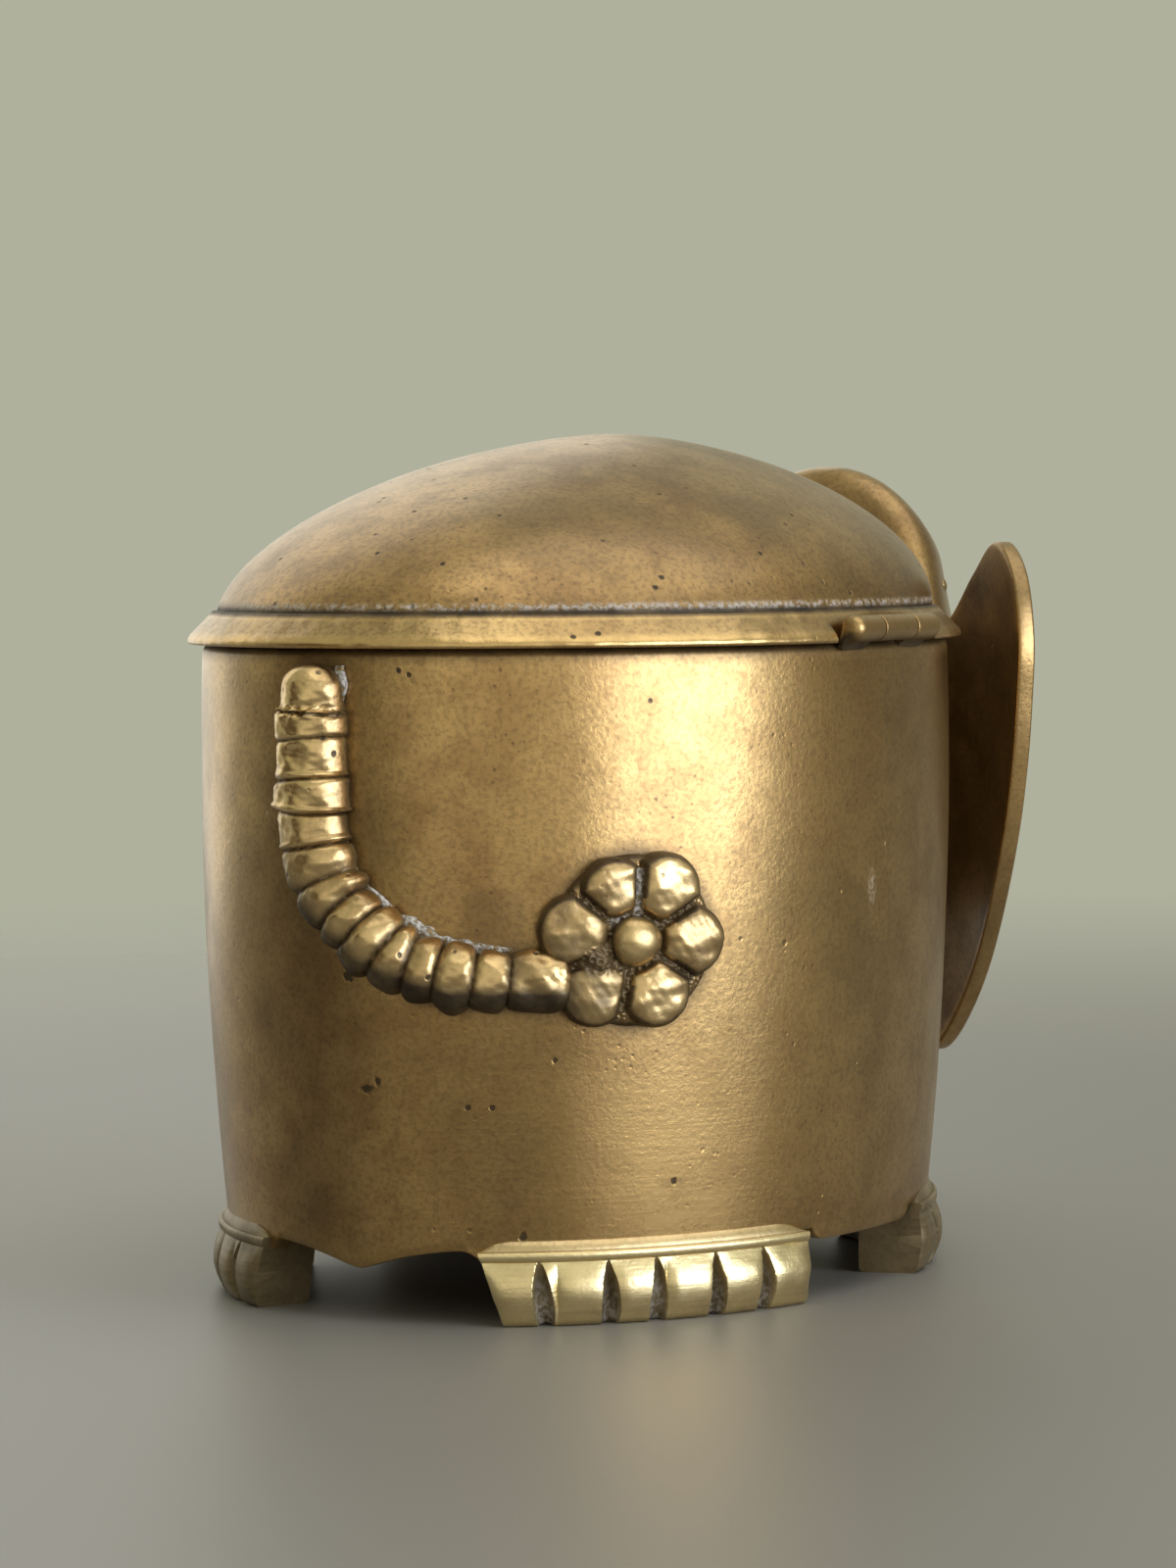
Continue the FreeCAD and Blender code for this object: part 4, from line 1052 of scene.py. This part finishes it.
def trunk(finish):
    """Rings along the trunk's line on a taper: each ring swells as one less the fourth power of the
    distance from its middle, and the tip is hollowed by two nostrils."""
    upper = TRUNK_UPPER_BEND * (TRUNK_START - TRUNK_HANG)
    total = upper + TRUNK_RUN + TRUNK_LOWER_BEND * (TRUNK_TIP - TRUNK_HANG)
    at = steps((0.0, total, 260))
    spots, angle = trunk_line(at)
    side = np.tile([1.0, 0.0, 0.0], (at.size, 1))
    out = np.stack([0 * angle, np.sin(angle), np.cos(angle)], -1)
    first = total / TRUNK_RINGS
    share = np.mod((at - first) / ((total - first) / TRUNK_RINGS), 1.0)
    body = np.interp(at, [first, total], [TRUNK_ROOT_RADIUS, TRUNK_TIP_RADIUS])
    groove = np.abs(2 * share - 1) ** 4 * (at > first)
    radius = body - TRUNK_GROOVE * groove
    rows = rod(spots, side, out, np.tile(radius[:, None], 64))
    turn = full_turn(64)
    rows = rows + 0.06 * wobble(rows, 4, 51)[..., None]
    way = np.array([0, -math.cos(angle[-1]), math.sin(angle[-1])])
    tip = []
    for size in (0.93, 0.8, 0.6, 0.4, 0.2, 0.05):
        loop = rows[-1].mean(0) + (rows[-1] - rows[-1].mean(0)) * size
        aside = (size * np.abs(np.cos(turn)) - 0.42) / 0.2
        nostril = np.exp(-aside ** 2 - (size * np.sin(turn) / 0.3) ** 2)
        tip.append(loop + way * (0.5 * math.sqrt(1 - size ** 2) - NOSTRIL_DEEP * nostril[:, None]))
    rows = np.concatenate([rows, np.array(tip)])
    grime = np.concatenate([np.clip(1.2 * groove, 0, 1), [0.2, 0.4, 0.6, 0.9, 0.6, 0.3]])[:, None]
    rub = np.concatenate([(1 - groove), np.zeros(6)])[:, None] * np.clip(np.sin(turn), 0, 1)[None]
    made = skin("trunk_skin", rows, grime=0.7 * grime, rub=0.7 * rub)
    return fit(made, "body", ["trunk"], finish)


def tusk(name, across, finish):
    """A round taper along a line that bends up a little as the square of its length."""
    at = steps((0.0, 0.9, 40), (0.9, 1.0, 14))
    level = math.cos(TUSK_DIP)
    way = np.array([math.sin(TUSK_SPREAD) * level, -math.cos(TUSK_SPREAD) * level, -math.sin(TUSK_DIP)])
    root = np.array([TUSK_SIDE, TUSK_SINK - HEAD_FORWARD - HEAD_LONG, HEAD_MIDDLE - TUSK_BELOW])
    length = TUSK_LENGTH + TUSK_TIP_RADIUS * 0.8
    spots = root + way * (at * length)[:, None] + np.array([0, 0, TUSK_SAG]) * (at * (at - 1))[:, None]
    side = np.tile(unit(np.cross(way, [0, 0, 1.0])), (at.size, 1))
    out = np.cross(side, way)
    radius = np.interp(at, [0, 1], [TUSK_ROOT_RADIUS, TUSK_TIP_RADIUS])
    radius = radius * np.sqrt(np.clip(1 - np.clip((at - 0.93) / 0.07, 0, 1) ** 2, 0.0009, 1))
    rows = rod(spots, side, out, np.tile(radius[:, None], 40)) * np.array([across, 1, 1])
    grime = bump(np.clip(at - 0.3, 0, None), 0.25)[:, None] * 0.6
    made = skin(name + "_skin", rows, grime=grime, rub=np.clip(at - 0.3, 0, 1)[:, None])
    return fit(made, "body", [name], finish)


def eye(name, across, finish):
    """A bead with an almond outline on the side of the head, ringed by a raised lid."""
    lift = math.asin(EYE_LIFT / HEAD_RISE)
    spot = np.array([
        HEAD_WIDE * math.sin(EYE_TURN) * math.cos(lift),
        -HEAD_FORWARD - HEAD_LONG * math.cos(EYE_TURN) * math.cos(lift),
        HEAD_MIDDLE + EYE_LIFT,
    ])
    middle = np.array([0, -HEAD_FORWARD, HEAD_MIDDLE])
    out = unit((spot - middle) / np.array([HEAD_WIDE, HEAD_LONG, HEAD_RISE]) ** 2)
    side = unit(np.cross(out, [0, 0, 1.0]))
    up = np.cross(side, out)
    angle = full_turn(64)[None]
    share = steps((0.04, 0.62, 12), (0.62, 1.0, 14))[:, None]
    wide = EYE_WIDE * share * np.cos(angle)
    tall = EYE_TALL * share * np.sin(angle) * (1 - 0.25 * np.abs(np.cos(angle)) ** 3)
    ball = 0.35 * np.sqrt(np.clip(1 - (share / 0.66) ** 2, 0, 1))
    proud = ball + 0.25 * bump(share - 0.8, 0.22) - 0.9 * share ** 6
    spot = spot - EYE_SINK * out
    rows = spot + wide[..., None] * side + tall[..., None] * up + (proud + 0 * angle)[..., None] * out
    rows = np.concatenate([rows, rows[-1:] - out]) * np.array([across, 1, 1])
    grime = np.concatenate([bump(share - 0.66, 0.1), [[1.0]]])
    rub = np.concatenate([1 - share, [[0.0]]])
    made = skin(name + "_skin", rows, grime=grime, rub=rub)
    return fit(made, "body", [name], finish)


def bar_outline(start, end, tongue):
    """Outline of a knuckle seen along the pin: an arc round the pin and a tongue inwards."""
    arc = np.linspace(math.radians(start), math.radians(end), 40)
    ring = KNUCKLE_RADIUS * np.stack([np.cos(arc), np.sin(arc)], -1)
    return np.concatenate([ring, np.reshape(tongue, (-1, 2))]).T


def knuckle(name, outline, front, rear, soft, body, finish):
    """The outline carried along the pin; each end is rounded over a quarter ellipse of its own length."""
    x, z = outline
    arc = np.linspace(0, np.pi / 2, 9)
    y = np.concatenate([front + soft[0] * (1 - np.cos(arc)), (rear - soft[1] * (1 - np.cos(arc)))[::-1]])
    draw = np.concatenate([soft[0] * (1 - np.sin(arc)), (soft[1] * (1 - np.sin(arc)))[::-1]])[:, None]
    size = 1 - 0.8 * draw / KNUCKLE_RADIUS
    rows = np.stack([HINGE_X + x * size, y[:, None] + 0 * x, HINGE_Z + z * size], -1)
    # Painted shade on the lower side of each knuckle; brighter on the outer side from wear
    grime = np.clip((-z - 0.3) / 0.9, 0, 1)[None] + 0 * size
    made = skin(name + "_skin", rows, grime=grime, rub=np.clip(-x, 0, 1)[None] * 0.5)
    return fit(made, body, [name], finish)


# Finishes: clean metal, brown patina, strength of the patina, roughness, grain, pitting and single pits
AGED = brass("aged_brass", (0.66, 0.42, 0.155, 1), (0.39, 0.215, 0.066, 1), 0.9, 0.21, 0.42, 0.0, PITS)
CAST = brass("cast_brass", (0.68, 0.475, 0.215, 1), (0.34, 0.20, 0.075, 1), 1.0, 0.25, 0.60, 0.18)
BROWN = brass("brown_brass", (0.58, 0.355, 0.13, 1), (0.29, 0.16, 0.052, 1), 1.0, 0.31, 0.50, 0.13)
PITTED = brass("pitted_brass", (0.62, 0.41, 0.16, 1), (0.33, 0.19, 0.06, 1), 0.9, 0.26, 0.50, 0.24)
FILED = brass("filed_brass", (0.85, 0.64, 0.34, 1), (0.62, 0.42, 0.18, 1), 0.6, 0.28, 0.25, 0.05)
RUBBED = brass("rubbed_brass", (0.62, 0.44, 0.20, 1), (0.37, 0.24, 0.095, 1), 0.9, 0.32, 0.50, 0.14)
HINGE = brass("hinge_brass", (0.50, 0.32, 0.12, 1), (0.30, 0.18, 0.065, 1), 0.8, 0.34, 0.40, 0.05)

barrel(AGED)
for end, along in (("rear", 1), ("front", -1)):
    for hand, across in (("right", 1), ("left", -1)):
        # The feet away from the light get painted shade
        darkening = 0.0 if along == across == 1 else FAR_FEET_SHADE
        foot("foot_" + end + "_" + hand, across, along, darkening, FILED)
lid_dome(BROWN)
lid_band(PITTED)
tail(CAST)
braze(CAST)
flower(CAST)
boss(RUBBED)
for hand, across in (("right", -1), ("left", 1)):
    ear("ear_" + hand, across, AGED)
    tusk("tusk_" + hand, across, AGED)
    eye("eye_" + hand, across, RUBBED)
head(AGED)
trunk(AGED)
lid_front = HINGE_BACK - LID_KNUCKLE_HALF
lid_rear = HINGE_BACK + LID_KNUCKLE_HALF
post = bar_outline(30, 270, [(0.4, -1.25), (0.95, -1.65), (1.05, -1.85), (1.5, -1.65), (1.3, -0.7)])
web = bar_outline(32, 308, [(1.75, -0.9), (1.75, 0.6)])
pin = bar_outline(0, 351, []) * PIN_RADIUS / KNUCKLE_RADIUS
post_end = (POST_ROUND, KNUCKLE_SOFT)
soft_ends = (KNUCKLE_SOFT, KNUCKLE_SOFT)
pin_ends = (PIN_SOFT, PIN_SOFT)
knuckle("hinge_post_front", post, HINGE_FRONT, lid_front - KNUCKLE_GAP, post_end, "body", HINGE)
knuckle("hinge_post_rear", post, lid_rear + KNUCKLE_GAP, HINGE_REAR, post_end[::-1], "body", HINGE)
knuckle("hinge_knuckle_lid", web, lid_front, lid_rear, soft_ends, "lid", HINGE)
knuckle("hinge_pin", pin, HINGE_FRONT + PIN_SHORT, HINGE_REAR - PIN_SHORT, pin_ends, "body", HINGE)
for node, finish in (("floor_plate", AGED), ("lid_ring", PITTED)):
    solid = frame["nodes"][node]
    solid.data.materials.clear()
    solid.data.materials.append(finish)


# Floor, light and camera: spots of the world by turn in degrees, start and end of the fade, strength and
# colour; lamps by direction, width in degrees, strength and colour
PALE = (0.43, 0.44, 0.34, 1)
DIM = (0.075, 0.05, 0.03, 1)
GLOW = (0.74, 0.73, 0.62, 1)
WORLD_SPOTS = [(-45, 0.80, 1.0, 1.0, DIM), (152, 0.70, 1.0, 0.7, DIM), (42, 0.50, 0.96, 1.0, GLOW)]
LAMPS = {
    "window": ((-0.993, 0.04, 0.11), 44, 1.66, (0.90, 1.0, 1.16)),
    "fill": ((0.80, -0.48, 0.36), 60, 0.55, (1.0, 0.98, 0.95)),
    "overhead": ((-0.30, -0.10, 0.95), 60, 0.85, (1.0, 0.99, 0.96)),
}
FLOOR_COLOUR = (0.27, 0.257, 0.243, 1)
FLOOR_ROUGHNESS = 0.45
FLOOR_GLOSS = 0.3
FLOOR_REACH = 1.5
FLOOR_FADE = (0.16, 0.55)
VIEW_TURN = math.radians(30.0)
VIEW_DISTANCE = 490.0
EYE_HEIGHT = 67.1
SENSOR = 36.0
LENS = 123.885
PAN = 0.00114545
PITCH = 0.04667273
ROLL = math.radians(0.3)


def floor():
    """Large pale floor that fades into the backdrop's own colour away from the object."""
    made = bpy.data.materials.new("pale_floor")
    tree = new_tree(made)
    place = tree.node("ShaderNodeTexCoord", output=3)
    far = tree.node("ShaderNodeVectorMath", {"operation": "LENGTH"}, {0: place}, output=1)
    paint = tree.node("ShaderNodeBsdfPrincipled", None, {
        "Base Color": FLOOR_COLOUR,
        "Roughness": FLOOR_ROUGHNESS,
        "Specular IOR Level": FLOOR_GLOSS,
    })
    clear = tree.node("ShaderNodeBsdfTransparent")
    shader = tree.node("ShaderNodeMixShader", None, {0: far.ramp(*FLOOR_FADE), 1: paint, 2: clear})
    tree.node("ShaderNodeOutputMaterial", None, {"Surface": shader})
    mesh = bpy.data.meshes.new("studio_floor")
    corners = [(-1, -1, 0), (1, -1, 0), (1, 1, 0), (-1, 1, 0)]
    mesh.from_pydata(np.array(corners) * FLOOR_REACH, [], [(0, 1, 2, 3)])
    mesh.materials.append(made)
    board = bpy.data.objects.new("studio_floor", mesh)
    bpy.context.scene.collection.objects.link(board)


def lamp(name, way, angle, strength, colour):
    """Soft lamp far away in this direction, as wide as the angle."""
    data = bpy.data.lights.new(name, "SUN")
    data.angle = math.radians(angle)
    data.energy = strength
    data.color = colour
    made = bpy.data.objects.new(name, data)
    made.rotation_euler = (-Vector(way)).to_track_quat("-Z", "Y").to_euler()
    bpy.context.scene.collection.objects.link(made)


def world():
    """Pale studio, brighter behind the camera and darker at two sides of the object."""
    made = bpy.data.worlds.new("studio")
    bpy.context.scene.world = made
    tree = new_tree(made)
    way = tree.node("ShaderNodeTexCoord", output=0)
    shade = PALE
    for toward, start, end, strength, colour in WORLD_SPOTS:
        point = (-math.sin(math.radians(toward)), math.cos(math.radians(toward)), 0.0)
        ways = {0: way, 1: point}
        near = tree.node("ShaderNodeVectorMath", {"operation": "DOT_PRODUCT"}, ways, output=1)
        shade = (near.ramp(start, end) * strength).mix(shade, colour)
    light = tree.node("ShaderNodeBackground", None, {"Color": shade, "Strength": 1.0})
    tree.node("ShaderNodeOutputWorld", None, {"Surface": light})


def camera():
    """Camera at the lid's height behind the right rear foot, aimed a little down, as in the photograph."""
    data = bpy.data.cameras.new("camera")
    data.sensor_width = SENSOR
    data.lens = LENS
    made = bpy.data.objects.new("camera", data)
    back = Vector((-math.sin(VIEW_TURN), math.cos(VIEW_TURN), 0))
    right = Vector((-math.cos(VIEW_TURN), -math.sin(VIEW_TURN), 0))
    up = Vector((0, 0, 1))
    sight = (-back + right * PAN - up * PITCH).normalized()
    upright = up + right * math.tan(ROLL)
    upright = (upright - sight * upright.dot(sight)).normalized()
    spot = (back * VIEW_DISTANCE + Vector((0, MIDDLE, EYE_HEIGHT))) * MM
    turned = Matrix((sight.cross(upright), upright, -sight)).transposed()
    made.matrix_world = Matrix.Translation(spot) @ turned.to_4x4()
    bpy.context.scene.collection.objects.link(made)
    bpy.context.scene.camera = made


floor()
world()
camera()
for name, values in LAMPS.items():
    lamp(name, *values)
bpy.context.scene.view_settings.view_transform = "Standard"
